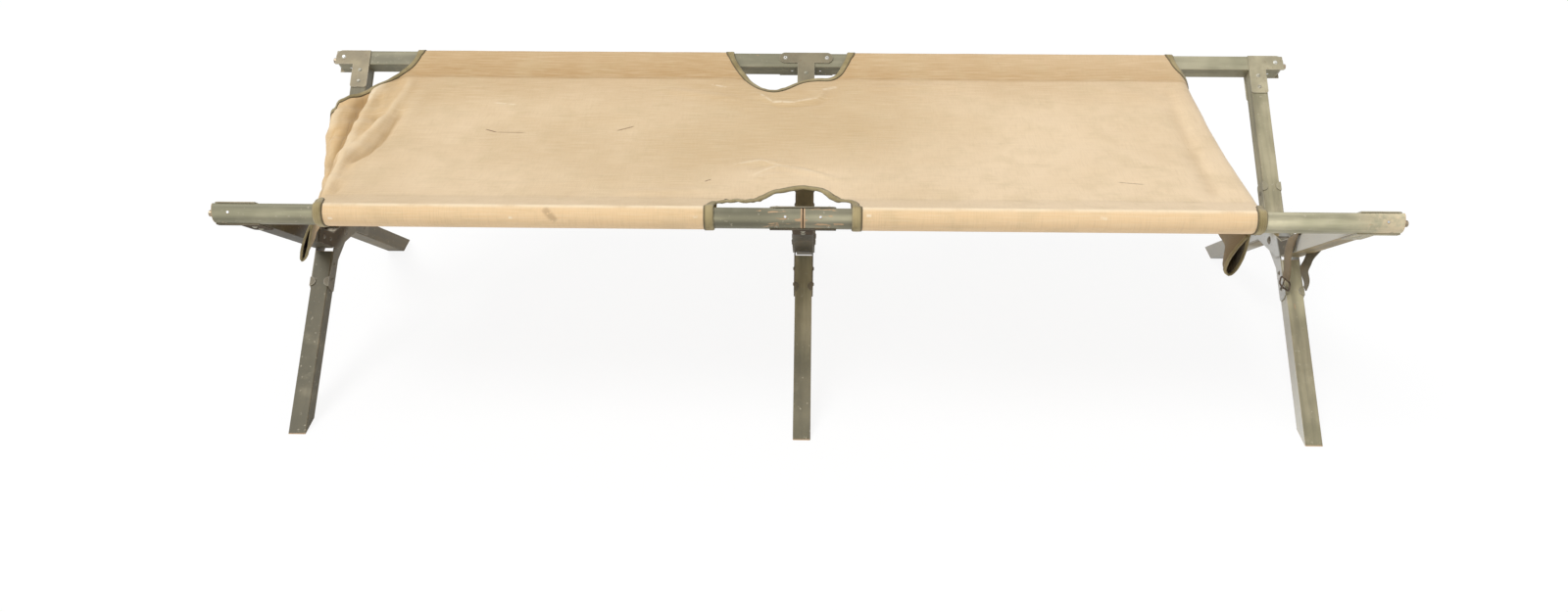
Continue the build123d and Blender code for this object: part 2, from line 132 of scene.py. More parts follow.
# Marks on the cloth: two ends on the flat cloth, half their width and how strong they are
DARK_MARKS = (
    ((-606, 34), (-584, 22), 2.4, 0.9),
    ((-584, 22), (-530, 21), 1.8, 0.8),
    ((-356, 32), (-326, 50), 2.6, 0.75),
    ((550, -173), (592, -182), 1.8, 0.75),
    ((-174, -187), (-162, -177), 2.6, 0.8),
    ((-426, -342), (-406, -364), 9.0, 0.35),
)
PALE_MARKS = (
    ((-90, 196), (-66, 162), 4.0, 0.4),
    ((-66, 162), (-20, 157), 4.5, 0.5),
    ((-20, 160), (24, 174), 4.0, 0.4),
    ((-614, 150), (-570, 142), 3.4, 0.5),
    ((-128, -112), (-78, -94), 4.5, 0.3),
    ((-78, -94), (20, -146), 4.0, 0.28),
    ((-92, -158), (-48, -120), 4.0, 0.28),
    ((-190, 236), (-160, 225), 3.4, 0.5),
    ((34, 214), (62, 228), 7.0, 0.45),
    ((-850, 240), (-858, 170), 4.0, 0.4),
    ((-484, -358), (-477, -358), 3.2, 0.8),
    ((-784, -362), (-776, -362), 3.2, 0.7),
    ((-180, -354), (-172, -354), 3.2, 0.8),
    ((104, -350), (112, -350), 3.2, 0.7),
    ((484, -350), (496, -352), 3.6, 0.5),
)

# Tie strap, in millimetres
STRAP_SPOT = 152.0           # up the leg from its crossing
STRAP_WIDTH = 20.0
STRAP_THICKNESS = 1.8
STRAP_STAND = 5.9            # strap's middle off the leg's sides
BUCKLED_DROP = 97.0
TAIL_DROP = 116.0
BUCKLE_WIDTH = 32.0
BUCKLE_HEIGHT = 22.0
BUCKLE_WIRE = 1.6
BUCKLE_LAP = 2.0             # strap's end below the top of the buckle
TONGUE_RADIUS = 1.2
TONGUE_BOW = 2.4
TONGUE_EDGE = 0.4
BUCKLED_WAY = Vector((0.30, -0.954, 0.0))   # across the strap at its buckle
TAIL_WAY = Vector((0.30, -0.95, 0.0))       # across its tail
TAIL_KINK = 76.0             # down the tail
TAIL_CURL = 84.0
BUCKLED_STEPS = 18           # points down to the buckle, over the leg and down the tail
OVER_STEPS = 10
TAIL_STEPS = 24
STRAP_COLUMNS = 4            # faces across the strap

# Camera and light: places in metres and turns in degrees
CAMERA_PLACE = (0.0140, -2.2262, 1.4859)
CAMERA_TURN = 1.381
CAMERA_DIP = 32.64
CAMERA_ROLL = -0.170
CAMERA_LENS = 30.0
CAMERA_SENSOR = 36.0
SUN_TURN = (16, -24, 0)
SUN_LIGHT = 2.4
SUN_SPREAD = 28
SKY_LIGHT = 0.58             # on the cot; it is one to the eye
FLOOR_SIZE = 30.0
FLOOR_DROP = 0.0005
FLOOR_GLOW = 0.90            # share of the floor that is plain white to the eye

# Colours of the timber, as linear red, green and blue
OLIVE = (0.215, 0.203, 0.138)
FADED_OLIVE = (0.325, 0.30, 0.212)
BLEACHED_OLIVE = (0.44, 0.405, 0.295)
GRIME = (0.10, 0.09, 0.062)
# Painted light on the inner sides at the right end and on the rear foot
TIMBER_SIDE_LIGHT = (0.64, 0.64, 0.60)
RUBBED_PAINT = (0.50, 0.45, 0.34)
HANDLED_PAINT = (0.68, 0.55, 0.36)
BARE_WOOD = (0.42, 0.25, 0.125)
PALE_WOOD = (0.62, 0.43, 0.27)
RAIL_TINT = (1.0, 1.0, 0.97)
REAR_LEG_TINT = (1.0, 0.965, 0.90)
FRONT_LEG_TINT = (1.0, 0.84, 0.64)

# Colours of the steel
PLATE_SHADE = (0.05, 0.033, 0.02)
# Painted light on the inner sides at the right end, and a painted shadow in the crook of the right splice
# plates
PLATE_SIDE_LIGHT = (0.60, 0.61, 0.60)
CROOK_SHADOW = (0.085, 0.07, 0.045)
RUST = (0.19, 0.11, 0.06)
RUBBED_PLATE = (0.44, 0.41, 0.34)
RIVET_HOLE = (0.10, 0.09, 0.08)
TEE_BRIGHT = (0.82, 0.82, 0.78)
TEE_DULLED = (0.55, 0.52, 0.45)
TEE_PAINT = (0.22, 0.205, 0.145)
TEE_RUBBED = (0.36, 0.335, 0.25)
CORNER_BRIGHT = (0.82, 0.82, 0.76)
CORNER_DULLED = (0.52, 0.49, 0.42)
CORNER_PAINT = (0.27, 0.25, 0.18)
CORNER_RUBBED = (0.50, 0.47, 0.38)

# Colours of the canvas and its tape
KHAKI = (0.555, 0.395, 0.21)
PALE_KHAKI = (0.745, 0.575, 0.375)
# Painted shadow on the bed next to the rear seam
SLOPE_SHADOW_BROWN = (0.46, 0.29, 0.13)
GATHERED_OCHRE = (0.68, 0.44, 0.19)
SLOPE_BROWN = (0.435, 0.268, 0.112)
SLEEVE_TAN = (0.775, 0.54, 0.298)
# Painted shade where the sleeves turn under the rails
UNDERSIDE_SHADE_BROWN = (0.42, 0.29, 0.15)
USED_KHAKI = (0.525, 0.395, 0.215)
PALE_THREAD = (0.84, 0.68, 0.465)
DARK_THREAD = (0.45, 0.31, 0.17)
# Painted shade in fold hollows and painted highlights on fold crests
FOLD_SHADE_BROWN = (0.375, 0.235, 0.095)
FOLD_HIGHLIGHT_CREAM = (0.86, 0.70, 0.48)
# Rubbed cloth with a painted highlight along the front rail's crown
CROWN_RUB_HIGHLIGHT = (0.90, 0.75, 0.53)
SPECK_BROWN = (0.20, 0.14, 0.08)
SLIT_BROWN = (0.15, 0.068, 0.028)
RUBBED_CREAM = (0.88, 0.78, 0.61)
# Painted shade on the flaps and their pockets
POCKET_SHADE_BROWN = (0.165, 0.112, 0.038)
STITCH_BROWN = (0.45, 0.34, 0.20)
# Painted shadow along the binding's sewn edge
TAPE_EDGE_SHADOW = (0.055, 0.04, 0.02)

MM = 0.001
TIMBER_MIDDLE = NEST_GAP + TIMBER_THICKNESS / 2
PIVOT_HEIGHT = RAIL_CENTRE_HEIGHT - RAIL_REACH * sin(LEG_SLOPE) + TIMBER_MIDDLE * cos(LEG_SLOPE)
POCKET_TOP = FLAP_FOLD + FLAP_WEB
POCKET_FOOT = POCKET_TOP + POCKET
FLAP_LENGTH = POCKET_FOOT + POCKET
CORNER_END = SLEEVE_OUTER + CORNER_RUN


class Flow:
    """A shader socket that can take part in sums."""

    def __init__(self, wiring, socket):
        self.wiring = wiring
        self.socket = socket

    def maths(self, operation, first, second=0.0):
        return self.wiring.node("ShaderNodeMath", {"operation": operation}, {0: first, 1: second})

    def __add__(self, other):
        return self.maths("ADD", self, other)

    def __sub__(self, other):
        return self.maths("SUBTRACT", self, other)

    def __rsub__(self, other):
        return self.maths("SUBTRACT", other, self)

    def __mul__(self, other):
        return self.maths("MULTIPLY", self, other)

    def __truediv__(self, other):
        return self.maths("DIVIDE", self, other)

    def __abs__(self):
        return self.maths("ABSOLUTE", self)

    __radd__ = __add__
    __rmul__ = __mul__

    def most(self, other):
        return self.maths("MAXIMUM", self, other)

    def wave(self):
        return self.maths("SINE", self)

    def root(self):
        return self.maths("SQRT", self)

    def ramp(self, low, high):
        """Zero below low, one above high and smooth between; low may be the larger."""
        return self.wiring.node(
            "ShaderNodeMapRange",
            {"interpolation_type": "SMOOTHSTEP"},
            {"Value": self, "From Min": low, "From Max": high},
        )


class Wiring:
    """A node tree that is written as expressions."""

    def __init__(self, tree):
        self.tree = tree

    def link(self, socket, value):
        if isinstance(value, Flow):
            self.tree.links.new(value.socket, socket)
        elif isinstance(value, tuple) and socket.type == "RGBA":
            socket.default_value = (*value, 1.0)
        else:
            socket.default_value = value

    def node(self, kind, settings=None, sockets=None, output=0):
        """One output of a new node, which gets its settings and then its sockets' values or links."""
        made = self.tree.nodes.new(kind)
        for key, value in (settings or {}).items():
            setattr(made, key, value)
        for key, value in (sockets or {}).items():
            self.link(made.inputs[key], value)
        return Flow(self, made.outputs[output])


class Finish(Wiring):
    """A surface finish: one material, and what its colours and relief are made from."""

    def __init__(self, name, **fixed):
        self.material = bpy.data.materials.new(name)
        self.material.use_nodes = True
        super().__init__(self.material.node_tree)
        self.surface = self.tree.nodes["Principled BSDF"]
        for socket, value in fixed.items():
            self.link(self.surface.inputs[socket.replace("_", " ")], value)

    def place(self, stretch=(1, 1, 1), turn=(0, 0, 0)):
        """Object coordinates, turned and then stretched."""
        there = self.node("ShaderNodeTexCoord", output="Object")
        turned = self.node("ShaderNodeMapping", {}, {"Vector": there, "Rotation": turn})
        return self.node("ShaderNodeMapping", {}, {"Vector": turned, "Scale": stretch})

    def flat(self, stretch=(1, 1, 1)):
        """Place on the flat cloth, in metres."""
        there = self.node("ShaderNodeUVMap", {"uv_map": "flat"})
        return self.node("ShaderNodeMapping", {}, {"Vector": there, "Scale": stretch})

    def noise(self, where, scale, detail=4.0, roughness=0.55):
        return self.node(
            "ShaderNodeTexNoise",
            {"noise_dimensions": "3D"},
            {"Vector": where, "Scale": scale, "Detail": detail, "Roughness": roughness},
        )

    def axes(self, where):
        """The X, Y and Z of a place or of a direction."""
        first = self.node("ShaderNodeSeparateXYZ", {}, {0: where})
        return [Flow(self, socket) for socket in first.socket.node.outputs]

    def normal(self):
        return self.node("ShaderNodeNewGeometry", output="Normal")

    def mix(self, share, first, second):
        return self.node(
            "ShaderNodeMix",
            {"data_type": "RGBA"},
            {0: share, 6: first, 7: second},
            output=2,
        )

    def vectors(self, operation, sockets, output=0):
        return self.node("ShaderNodeVectorMath", {"operation": operation}, sockets, output)

    def tint(self, colour, by):
        return self.vectors("MULTIPLY", {0: colour, 1: by})

    def scale(self, colour, amount):
        return self.vectors("SCALE", {0: colour, "Scale": amount})

    def edges(self, radius):
        """About one on sharp edges and zero on flat faces."""
        rounded = self.node("ShaderNodeBevel", {"samples": 6}, {"Radius": radius})
        facing = self.vectors("DOT_PRODUCT", {0: rounded, 1: self.normal()}, output=1)
        return (1 - facing) * 6.0

    def painted_side_light(self, x, y, z):
        """One where painted light pales the surface: the inner, left-facing sides at the right end and the
        rear foot's front there, but not the rear leg up to the rear rail.
        """
        along, across = self.axes(self.normal())[:2]
        foot = across.ramp(-0.3, -0.5) * y.ramp(0.10, 0.18) * z.ramp(0.19, 0.13)
        no_side_light = y.ramp(-0.03, 0.0) * z.ramp(0.225, 0.245)
        return along.ramp(-0.55, -0.9).most(foot) * x.ramp(0.72, 0.86) * (1 - no_side_light)

    def lay(self, colour, roughness, height, depth, metallic=0.0):
        """Puts the colour, the roughness and a relief of some depth on the surface."""
        self.link(self.surface.inputs["Base Color"], colour)
        self.link(self.surface.inputs["Roughness"], roughness)
        self.link(self.surface.inputs["Metallic"], metallic)
        bump = self.node("ShaderNodeBump", {}, {"Height": height, "Distance": depth})
        self.link(self.surface.inputs["Normal"], bump)
        return self.material


def painted_timber(name, turn, tone, tint):
    """Faded olive paint over hardwood, chipped along its edges.

    Turn lays the grain, tone gives how pale it is from its place, painted light and shade included, and tint
    colours it.
    """
    finish = Finish(name, Specular_IOR_Level=0.25)
    where = finish.place()
    along = finish.place((5.0, 70.0, 70.0), turn)
    scratches = finish.place((26.0, 130.0, 130.0), turn)
    blotch = finish.noise(where, 7.0, 3.0)
    patch = finish.noise(where, 26.0, 5.0)
    grain = finish.noise(along, 1.0, 5.0, 0.6)
    scuff = finish.noise(scratches, 1.0, 3.0, 0.6)
    speck = finish.noise(where, 160.0, 2.0)
    edge = finish.edges(0.0035)
    x, y, z = finish.axes(where)
    faded = finish.mix(blotch.ramp(0.38, 0.66), OLIVE, FADED_OLIVE)
    toned = finish.scale(faded, tone(x, y, z))
    pale = patch.ramp(0.52, 0.74) * (0.20 + x.ramp(0.4, 0.95) * 0.36)
    paint = finish.tint(finish.mix(pale, toned, BLEACHED_OLIVE), tint)
    grimy = finish.mix(grain.ramp(0.60, 0.36) * 0.35, paint, GRIME)
    # Painted light pales the inner sides at the right end and the rear foot's front.
    painted_side_lit = finish.mix(finish.painted_side_light(x, y, z) * 0.75, grimy, TIMBER_SIDE_LIGHT)
    near = y.ramp(-0.25, -0.30) * z.ramp(0.40, 0.425)
    seam = abs(x).ramp(0.14, 0.02) * near
    butted = abs(x).ramp(0.0045, 0.0028) * near * patch.ramp(0.30, 0.44)
    handled = x.ramp(0.87, 0.975) * near
    chips = (edge * 0.55 + patch * 0.55 + seam * 0.14 + handled * 0.16).ramp(0.63, 0.72)
    scrapes = (scuff + seam * 0.15 + handled * 0.08 + edge * 0.05).ramp(0.735, 0.775)
    bare_spots = chips.most(scrapes).most(butted)
    bare = finish.mix(grain, BARE_WOOD, PALE_WOOD)
    rubbed = finish.mix(speck.ramp(0.66, 0.74) * 0.5, painted_side_lit, RUBBED_PAINT)
    sandy = handled * (patch + speck * 0.7).ramp(0.64, 1.02) * 0.72
    thumbed = finish.mix(sandy, rubbed, HANDLED_PAINT)
    colour = finish.mix(bare_spots * 0.85, thumbed, bare)
    roughness = 0.46 + blotch * 0.16 + bare_spots * 0.2
    height = grain * 0.35 + speck * 0.15 - bare_spots * 0.5
    return finish.lay(colour, roughness, height, 0.0006)


def rail_tone(x, y, z):
    """Greener in the middle and paler toward its ends and on the front rail, where painted shade darkens the
    top and the bottom and a painted highlight runs along the crown.
    """
    near = y.ramp(0.1, -0.1)
    right = x.ramp(0.45, 1.0)
    bleached = abs(x).ramp(0.15, 0.85) * (0.02 + near * 0.36) + right * (0.26 + near * 0.28)
    # Painted highlight along the front rail's crown, with painted shade above and below it
    crown = z.ramp(0.442, 0.4515) * z.ramp(0.461, 0.453)
    rubbed = 0.76 + right * 0.14 + crown * (0.60 - right * 0.42)
    return (1.0 + bleached) * (1 + near * (rubbed - 1))


def rear_leg_tone(x, y, z):
    """Painted shade darkens the left end, the leg is paler to the right, and painted light brightens it below
    the crossing at the middle and right, where the bed's shadow falls.
    """
    # Painted light below the crossing, where the bed casts its shadow, and painted shade at the left end
    under = y.ramp(-0.26, -0.15) * y.ramp(0.03, -0.02)
    ends = 0.60 - x.ramp(-0.4, -0.8) * 0.18 + x.ramp(0.2, 0.9) * 0.46
    lit = abs(x).ramp(0.5, 0.2) * 0.85 + x.ramp(0.5, 0.8) * y.ramp(-0.19, -0.11) * 0.85
    return ends + y.ramp(-0.02, 0.06) * 0.2 + under * lit


def front_leg_tone(x, y, z):
    """Paler toward the right end; painted shade darkens it under the bed elsewhere."""
    return 0.66 + x.ramp(0.2, 0.9) * 0.4 - y.ramp(0.06, -0.02) * x.ramp(0.6, 0.3) * 0.40


def painted_steel(name, left, middle, right, painted_side_lit):
    """Paint on pressed plate, rubbed through on corners and specked with rust.

    Left, middle and right are its colours along the cot, and the last argument is how strongly painted light
    pales its inner sides at the right end. Painted shade darkens it under the front rail and under the bed at
    the left, with a painted shadow in the crook of the right splice plates.
    """
    finish = Finish(name, Specular_IOR_Level=0.3)
    where = finish.place()
    x, y, z = finish.axes(where)
    blotch = finish.noise(where, 18.0, 4.0)
    speck = finish.noise(where, 210.0, 3.0)
    edge = finish.edges(0.002)
    inner = finish.mix(x.ramp(-0.3, -0.8), middle, left)
    ground = finish.mix(x.ramp(0.1, 0.85), inner, right)
    rail_shade = y.ramp(-0.20, -0.26) * z.ramp(0.436, 0.420) * x.ramp(0.5, 0.3)
    bed_shade = x.ramp(-0.5, -0.8) * y.ramp(0.05, 0.0) * z.ramp(0.210, 0.235) * z.ramp(0.34, 0.30)
    shade = rail_shade.most(bed_shade * 0.8)
    shaded = finish.mix(shade * 0.9, ground, PLATE_SHADE)
    paint = finish.scale(shaded, 0.82 + blotch.ramp(0.35, 0.68) * 0.42)
    # Painted light on the inner sides at the right end, with a painted shadow in the crook where the right
    # splice plates meet the front leg
    crook_shadow = (z - y * 0.6).ramp(0.260, 0.272) * z.ramp(0.34, 0.30)
    painted_side_light = finish.mix(crook_shadow, PLATE_SIDE_LIGHT, CROOK_SHADOW)
    pale = finish.mix(finish.painted_side_light(x, y, z) * painted_side_lit, paint, painted_side_light)
    rust = finish.mix(speck.ramp(0.60, 0.72) * 0.45, pale, RUST)
    rubbed = (edge * 0.5 + blotch * 0.6 - shade * 0.3).ramp(0.66, 0.78)
    colour = finish.mix(rubbed * 0.6, rust, RUBBED_PLATE)
    roughness = 0.46 + blotch * 0.18 - rubbed * 0.10 + shade * 0.4
    height = speck * 0.3 + blotch * 0.3 - rubbed * 0.3
    return finish.lay(colour, roughness, height, 0.0003, rubbed * 0.3)


def hollow_rivets():
    """Tee rivets: the two that the rails turn on are bright, with a dark hole; the rest are painted."""
    finish = Finish("tee_rivet_steel")
    where = finish.place()
    x, y, z = finish.axes(where)
    up_leg = abs(y) * cos(LEG_SLOPE) + (z - PIVOT_HEIGHT * MM) * sin(LEG_SLOPE)
    aside = abs(x) - TEE_PIVOT_OFFSET * MM
    above = up_leg - (RAIL_REACH + TEE_PIVOT_RISE) * MM
    off = (aside * aside + above * above).root()
    stain = finish.noise(where, 190.0, 4.0)
    bright = finish.mix(stain.ramp(0.45, 0.75), TEE_BRIGHT, TEE_DULLED)
    holed = finish.mix(off.ramp(0.0019, 0.0013), bright, RIVET_HOLE)
    paint = finish.mix(stain.ramp(0.4, 0.7), TEE_PAINT, TEE_RUBBED)
    turned = off.ramp(0.0075, 0.0065) * y.ramp(-0.05, 0.05)
    colour = finish.mix(turned, paint, holed)
    return finish.lay(colour, 0.36 + stain * 0.2, stain * 0.3, 0.0002, turned * 0.85)


def corner_rivets():
    """Corner rivets: the rear pair that the legs turn on are bright, the rest half painted."""
    finish = Finish("corner_rivet_steel")
    where = finish.place()
    x, y = finish.axes(where)[:2]
    stain = finish.noise(where, 190.0, 4.0)
    bright = finish.mix(stain.ramp(0.45, 0.75), CORNER_BRIGHT, CORNER_DULLED)
    paint = finish.mix(stain.ramp(0.4, 0.66), CORNER_PAINT, CORNER_RUBBED)
    turned = abs(x).ramp(0.946, 0.951) * y.ramp(-0.05, 0.05)
    colour = finish.mix(turned, paint, bright)
    return finish.lay(colour, 0.38 + stain * 0.2, stain * 0.3, 0.0002, turned * 0.85)


def bare_steel(name, bright, dull, matt):
    """Bare fastener steel, dulled in blotches and rubbed bright on its edges; matt is its least roughness."""
    finish = Finish(name)
    where = finish.place()
    stain = finish.noise(where, 140.0, 4.0)
    scratch = finish.noise(finish.place((300.0, 900.0, 300.0)), 1.0, 2.0)
    edge = finish.edges(0.0012)
    colour = finish.mix(stain.ramp(0.45, 0.72), bright, dull)
    rubbed = finish.mix(edge.ramp(0.3, 1.0) * 0.4, colour, bright)
    roughness = matt + stain * 0.25
    return finish.lay(rubbed, roughness, scratch * 0.4 + stain * 0.3, 0.0002, 0.9)


def weave_height(across, along, pitch):
    """Over-and-under threads at a pitch, in metres, on flat cloth."""
    turn = 2 * pi / pitch
    return (across * turn).wave() * (along * turn).wave() * 0.5 + 0.5


def stitches(along, line):
    """A row of stitches that runs along a line: line is the distance from it."""
    stitch = (along * (2 * pi / (STITCH_PITCH * MM))).wave().ramp(-0.55, -0.25)
    return stitch * abs(line).ramp(STITCH_WIDTH * MM, STITCH_WIDTH * MM * 0.45)


def line_mark(x, u, start, end, half_width):
    """One on a short straight mark on the flat cloth, and zero away from it."""
    length = dist(start, end)
    way_x, way_u = (end[0] - start[0]) / length, (end[1] - start[1]) / length
    off_x, off_u = x - start[0] * MM, u - start[1] * MM
    run = (off_x * way_x + off_u * way_u) / (length * MM)
    off = abs(off_u * way_x - off_x * way_u)
    ends = run.ramp(-0.08, 0.15) * run.ramp(1.08, 0.85)
    return ends * off.ramp(half_width * MM, half_width * MM * 0.2)


def sun_faded(finish, x, u, cloud):
    """The cloth's ground colour: bleached bed, browner slope at the rear and tan sleeves, with painted shade
    at the gathered left end and a painted shadow on the bed below the rear slope.
    """
    seam = SEAM_HALF * MM
    crown = BED_HALF * MM
    bleached = 0.42 + x.ramp(-0.05, 0.65) * 0.34 + u.ramp(0.05, -0.24) * 0.20 + (cloud - 0.5) * 1.3
    lip = abs(x + 0.02).ramp(0.22, 0.06) * u.ramp(-0.09, -0.17) * 0.32
    # Darker where the middle is stained, and painted shade at the gathered left end, which turns away from
    # the light
    pale_share = bleached + lip - abs(x + 0.05).ramp(0.36, 0.05) * 0.26 - x.ramp(-0.70, -0.86) * 0.15
    ground = finish.mix(pale_share.ramp(0.0, 1.0), KHAKI, PALE_KHAKI)
    # Painted shadow on the bed next to the rear seam, below the rear slope
    slope_shadow = finish.mix(u.ramp(0.12, 0.25) * 0.32, ground, SLOPE_SHADOW_BROWN)
    gathered = finish.mix(x.ramp(-0.77, -0.86) * 0.42, slope_shadow, GATHERED_OCHRE)
    past_seam = u.ramp(seam - 0.004, seam + 0.003)
    slope = past_seam * (0.45 + u.ramp(crown - 0.010, seam + 0.012) * 0.45)
    sloped = finish.mix(slope * (0.70 + x.ramp(0.3, -0.4) * 0.25), gathered, SLOPE_BROWN)
    outside = abs(u).ramp(crown + 0.002, crown + 0.010)
    return finish.mix(outside * 0.8, sloped, SLEEVE_TAN)


def marked(finish, colour, x, u, speck):
    """Adds the dark slits and stains and the pale rubbed lines."""
    for start, end, half_width, share in DARK_MARKS:
        mark = line_mark(x, u, start, end, half_width) * speck.ramp(0.28, 0.43)
        colour = finish.mix(mark * share, colour, SLIT_BROWN)
    for start, end, half_width, share in PALE_MARKS:
        mark = line_mark(x, u, start, end, half_width) * speck.ramp(0.30, 0.52)
        colour = finish.mix(mark * share * 0.8, colour, RUBBED_CREAM)
    return colour


def canvas():
    """Faded plain-weave duck: slubs along its length, stains, creases and sewn seams, with painted shade in
    the fold hollows, under the rails and on the flaps, painted highlights on the fold crests, and a pale
    crown line that is rubbed and highlit.
    """
    finish = Finish("canvas", Sheen_Weight=0.2, Sheen_Roughness=0.5, Specular_IOR_Level=0.2)
    flat = finish.flat()
    x, u = finish.axes(flat)[:2]
    cloud = finish.noise(flat, 3.6, 4.0, 0.6)
    mottle = finish.noise(flat, 15.0, 5.0, 0.62)
    slub = finish.noise(finish.flat((16.0, 460.0, 1.0)), 1.0, 3.0, 0.6)
    cross_slub = finish.noise(finish.flat((460.0, 26.0, 1.0)), 1.0, 2.0, 0.6)
    speck = finish.noise(flat, 95.0, 2.0)
    smear = finish.noise(finish.flat((9.0, 34.0, 1.0)), 1.0, 5.0, 0.65)
    crease = finish.node("ShaderNodeAttribute", {"attribute_name": "crease"}, output="Fac")

    used = mottle.ramp(0.46, 0.66) * 0.30 + smear.ramp(0.54, 0.74) * 0.28
    worn = finish.mix(used, sun_faded(finish, x, u, cloud), USED_KHAKI)
    threads = finish.mix(slub.ramp(0.35, 0.72) * 0.28, worn, PALE_THREAD)
    shaded = finish.mix(cross_slub.ramp(0.55, 0.30) * 0.14, threads, DARK_THREAD)
    # Painted shade in the fold hollows and painted highlights on the fold crests
    fold_shade = finish.mix(crease.ramp(-0.5, -10.0) * 0.80, shaded, FOLD_SHADE_BROWN)
    fold_highlight = finish.mix(crease.ramp(1.0, 8.0) * 0.45, fold_shade, FOLD_HIGHLIGHT_CREAM)
    specked = finish.mix(speck.ramp(0.775, 0.80) * 0.7, fold_highlight, SPECK_BROWN)

    # Pale line past the top of the front rail: rubbed cloth with a painted highlight
    crown_line = abs(u) - (BED_HALF + CROWN_LINE_OFFSET) * MM
    rubbed = abs(crown_line).ramp(0.007, 0.001) * mottle.ramp(0.28, 0.55) * 0.62
    crown_rub_highlight = finish.mix(rubbed * u.ramp(0.1, -0.1), marked(finish, specked, x, u, speck), CROWN_RUB_HIGHLIGHT)
    # Painted shade where the sleeve turns under its rail
    below = abs(u).ramp(UNDERSIDE[0] * MM, UNDERSIDE[1] * MM)
    under = finish.mix(below * 0.40, crown_rub_highlight, UNDERSIDE_SHADE_BROWN)
    # Painted shade on the flaps below their fold: all of the right one and the front of the left one
    past = abs(x - CANVAS_SHIFT * MM) - SLEEVE_OUTER * MM
    flap = (past - FLAP_FOLD * MM).ramp(-0.020, 0.015)
    flap_shade = finish.mix(flap * x.ramp(-0.1, 0.1).most(u.ramp(-0.17, -0.24)) * 0.80, under, POCKET_SHADE_BROWN)

    seam_line = abs(u) - SEAM_HALF * MM
    rows = stitches(x, seam_line - SEAM_ROW * MM).most(stitches(x, seam_line + SEAM_ROW * MM))
    sewn = rows.most(stitches(u, past - POCKET_TOP * MM))
    colour = finish.mix(sewn * 0.2, flap_shade, STITCH_BROWN)
    pucker = abs(seam_line).ramp(0.010, 0.001) * cross_slub
    fold = abs(seam_line).ramp(0.0075, 0.005)
    weave = weave_height(x, u, WEAVE_PITCH * MM)
    height = weave * 0.35 + slub * 0.5 + cross_slub * 0.25 + pucker * 0.8 + fold * 0.25 - sewn * 0.7
    return finish.lay(colour, 0.82 + mottle * 0.1, height, 0.0007)


def tape(name, dark, light, pitch, faded=None):
    """Woven tape with ribs along it, rubbed pale on its high threads.

    Faded colours the strap's tail. The binding, which has none, gets a painted shadow along its sewn edge.
    """
    finish = Finish(name, Sheen_Weight=0.2, Specular_IOR_Level=0.2)
    along, across = finish.axes(finish.flat())[:2]
    rib = (across * (2 * pi / pitch) + (along * (pi / pitch)).wave() * 1.2).wave() * 0.5 + 0.5
    fade = finish.noise(finish.place(), 28.0, 4.0)
    fibre = finish.noise(finish.flat((900.0, 300.0, 1.0)), 1.0, 2.0)
    woven = finish.mix(fade.ramp(0.32, 0.68), dark, light)
    if faded:
        tail = finish.axes(finish.place())[0].ramp(END_LEG_X * MM, (END_LEG_X + 8) * MM)
        woven = finish.mix(tail * 0.8, woven, faded)
    else:
        # Painted shadow along the binding's sewn edge
        woven = finish.mix(across.ramp(0.0064, 0.0040) * 0.8, woven, TAPE_EDGE_SHADOW)
    colour = finish.mix(rib * fibre * 0.5, woven, tuple(1.5 * part for part in light))
    return finish.lay(colour, 0.85, rib * 0.7 + fibre * 0.4, 0.0006)


def pale_floor():
    """White floor that keeps the shadow: mostly plain white to the eye and to reflections."""
    finish = Finish("pale_floor", Base_Color=(0.88, 0.88, 0.88), Roughness=0.9)
    glow = finish.node("ShaderNodeEmission", {}, {"Color": (1.0, 1.0, 1.0), "Strength": 1.0})
    seen = finish.node("ShaderNodeLightPath", output="Is Camera Ray")
    shine = finish.node("ShaderNodeLightPath", output="Is Glossy Ray")
    through = finish.node("ShaderNodeLightPath", output="Is Transmission Ray")
    share = seen.most(shine).most(through) * FLOOR_GLOW
    body = Flow(finish, finish.surface.outputs[0])
    blended = finish.node("ShaderNodeMixShader", {}, {0: share, 1: body, 2: glow})
    finish.link(finish.tree.nodes["Material Output"].inputs["Surface"], blended)
    return finish.material


def deselect():
    if bpy.context.object and bpy.context.object.mode != "OBJECT":
        bpy.ops.object.mode_set(mode="OBJECT")
    bpy.ops.object.select_all(action="DESELECT")


def grid_piece(name, columns, rows):
    """A fresh grid, and the column and row of each of its points."""
    deselect()
    bpy.ops.mesh.primitive_grid_add(x_subdivisions=columns, y_subdivisions=rows, size=1.0)
    piece = bpy.context.object
    piece.name = name
    spots = [(round((v.co.x + 0.5) * columns), round((v.co.y + 0.5) * rows))
             for v in piece.data.vertices]
    return piece, spots


def lay_flat(piece, flat_points):
    """Keeps each point's place on the flat cloth, in metres, as the piece's UV map."""
    layer = piece.data.uv_layers[0]
    layer.name = "flat"
    for loop in piece.data.loops:
        a, b = flat_points[loop.vertex_index]
        layer.data[loop.index].uv = (a * MM, b * MM)


def apply_modifier(piece, kind, **settings):
    deselect()
    bpy.context.view_layer.objects.active = piece
    piece.select_set(True)
    modifier = piece.modifiers.new(kind.lower(), kind)
    for key, value in settings.items():
        setattr(modifier, key, value)
    bpy.ops.object.modifier_apply(modifier=modifier.name)


def dress(piece, material):
    """Smooth-shaded piece with one material."""
    piece.data.materials.clear()
    piece.data.materials.append(material)
    for face in piece.data.polygons:
        face.use_smooth = True
    return piece


def clamp(share):
    return min(1.0, max(0.0, share))


def smoothstep(low, high, value):
    share = clamp((value - low) / (high - low))
    return share * share * (3 - 2 * share)


def side_of(value):
    return 1 if value > 0 else -1


def distances(points):
    """How far along a run each of its points is."""
    along = [0.0]
    for start, end in zip(points, points[1:]):
        along.append(along[-1] + dist(start, end))
    return along


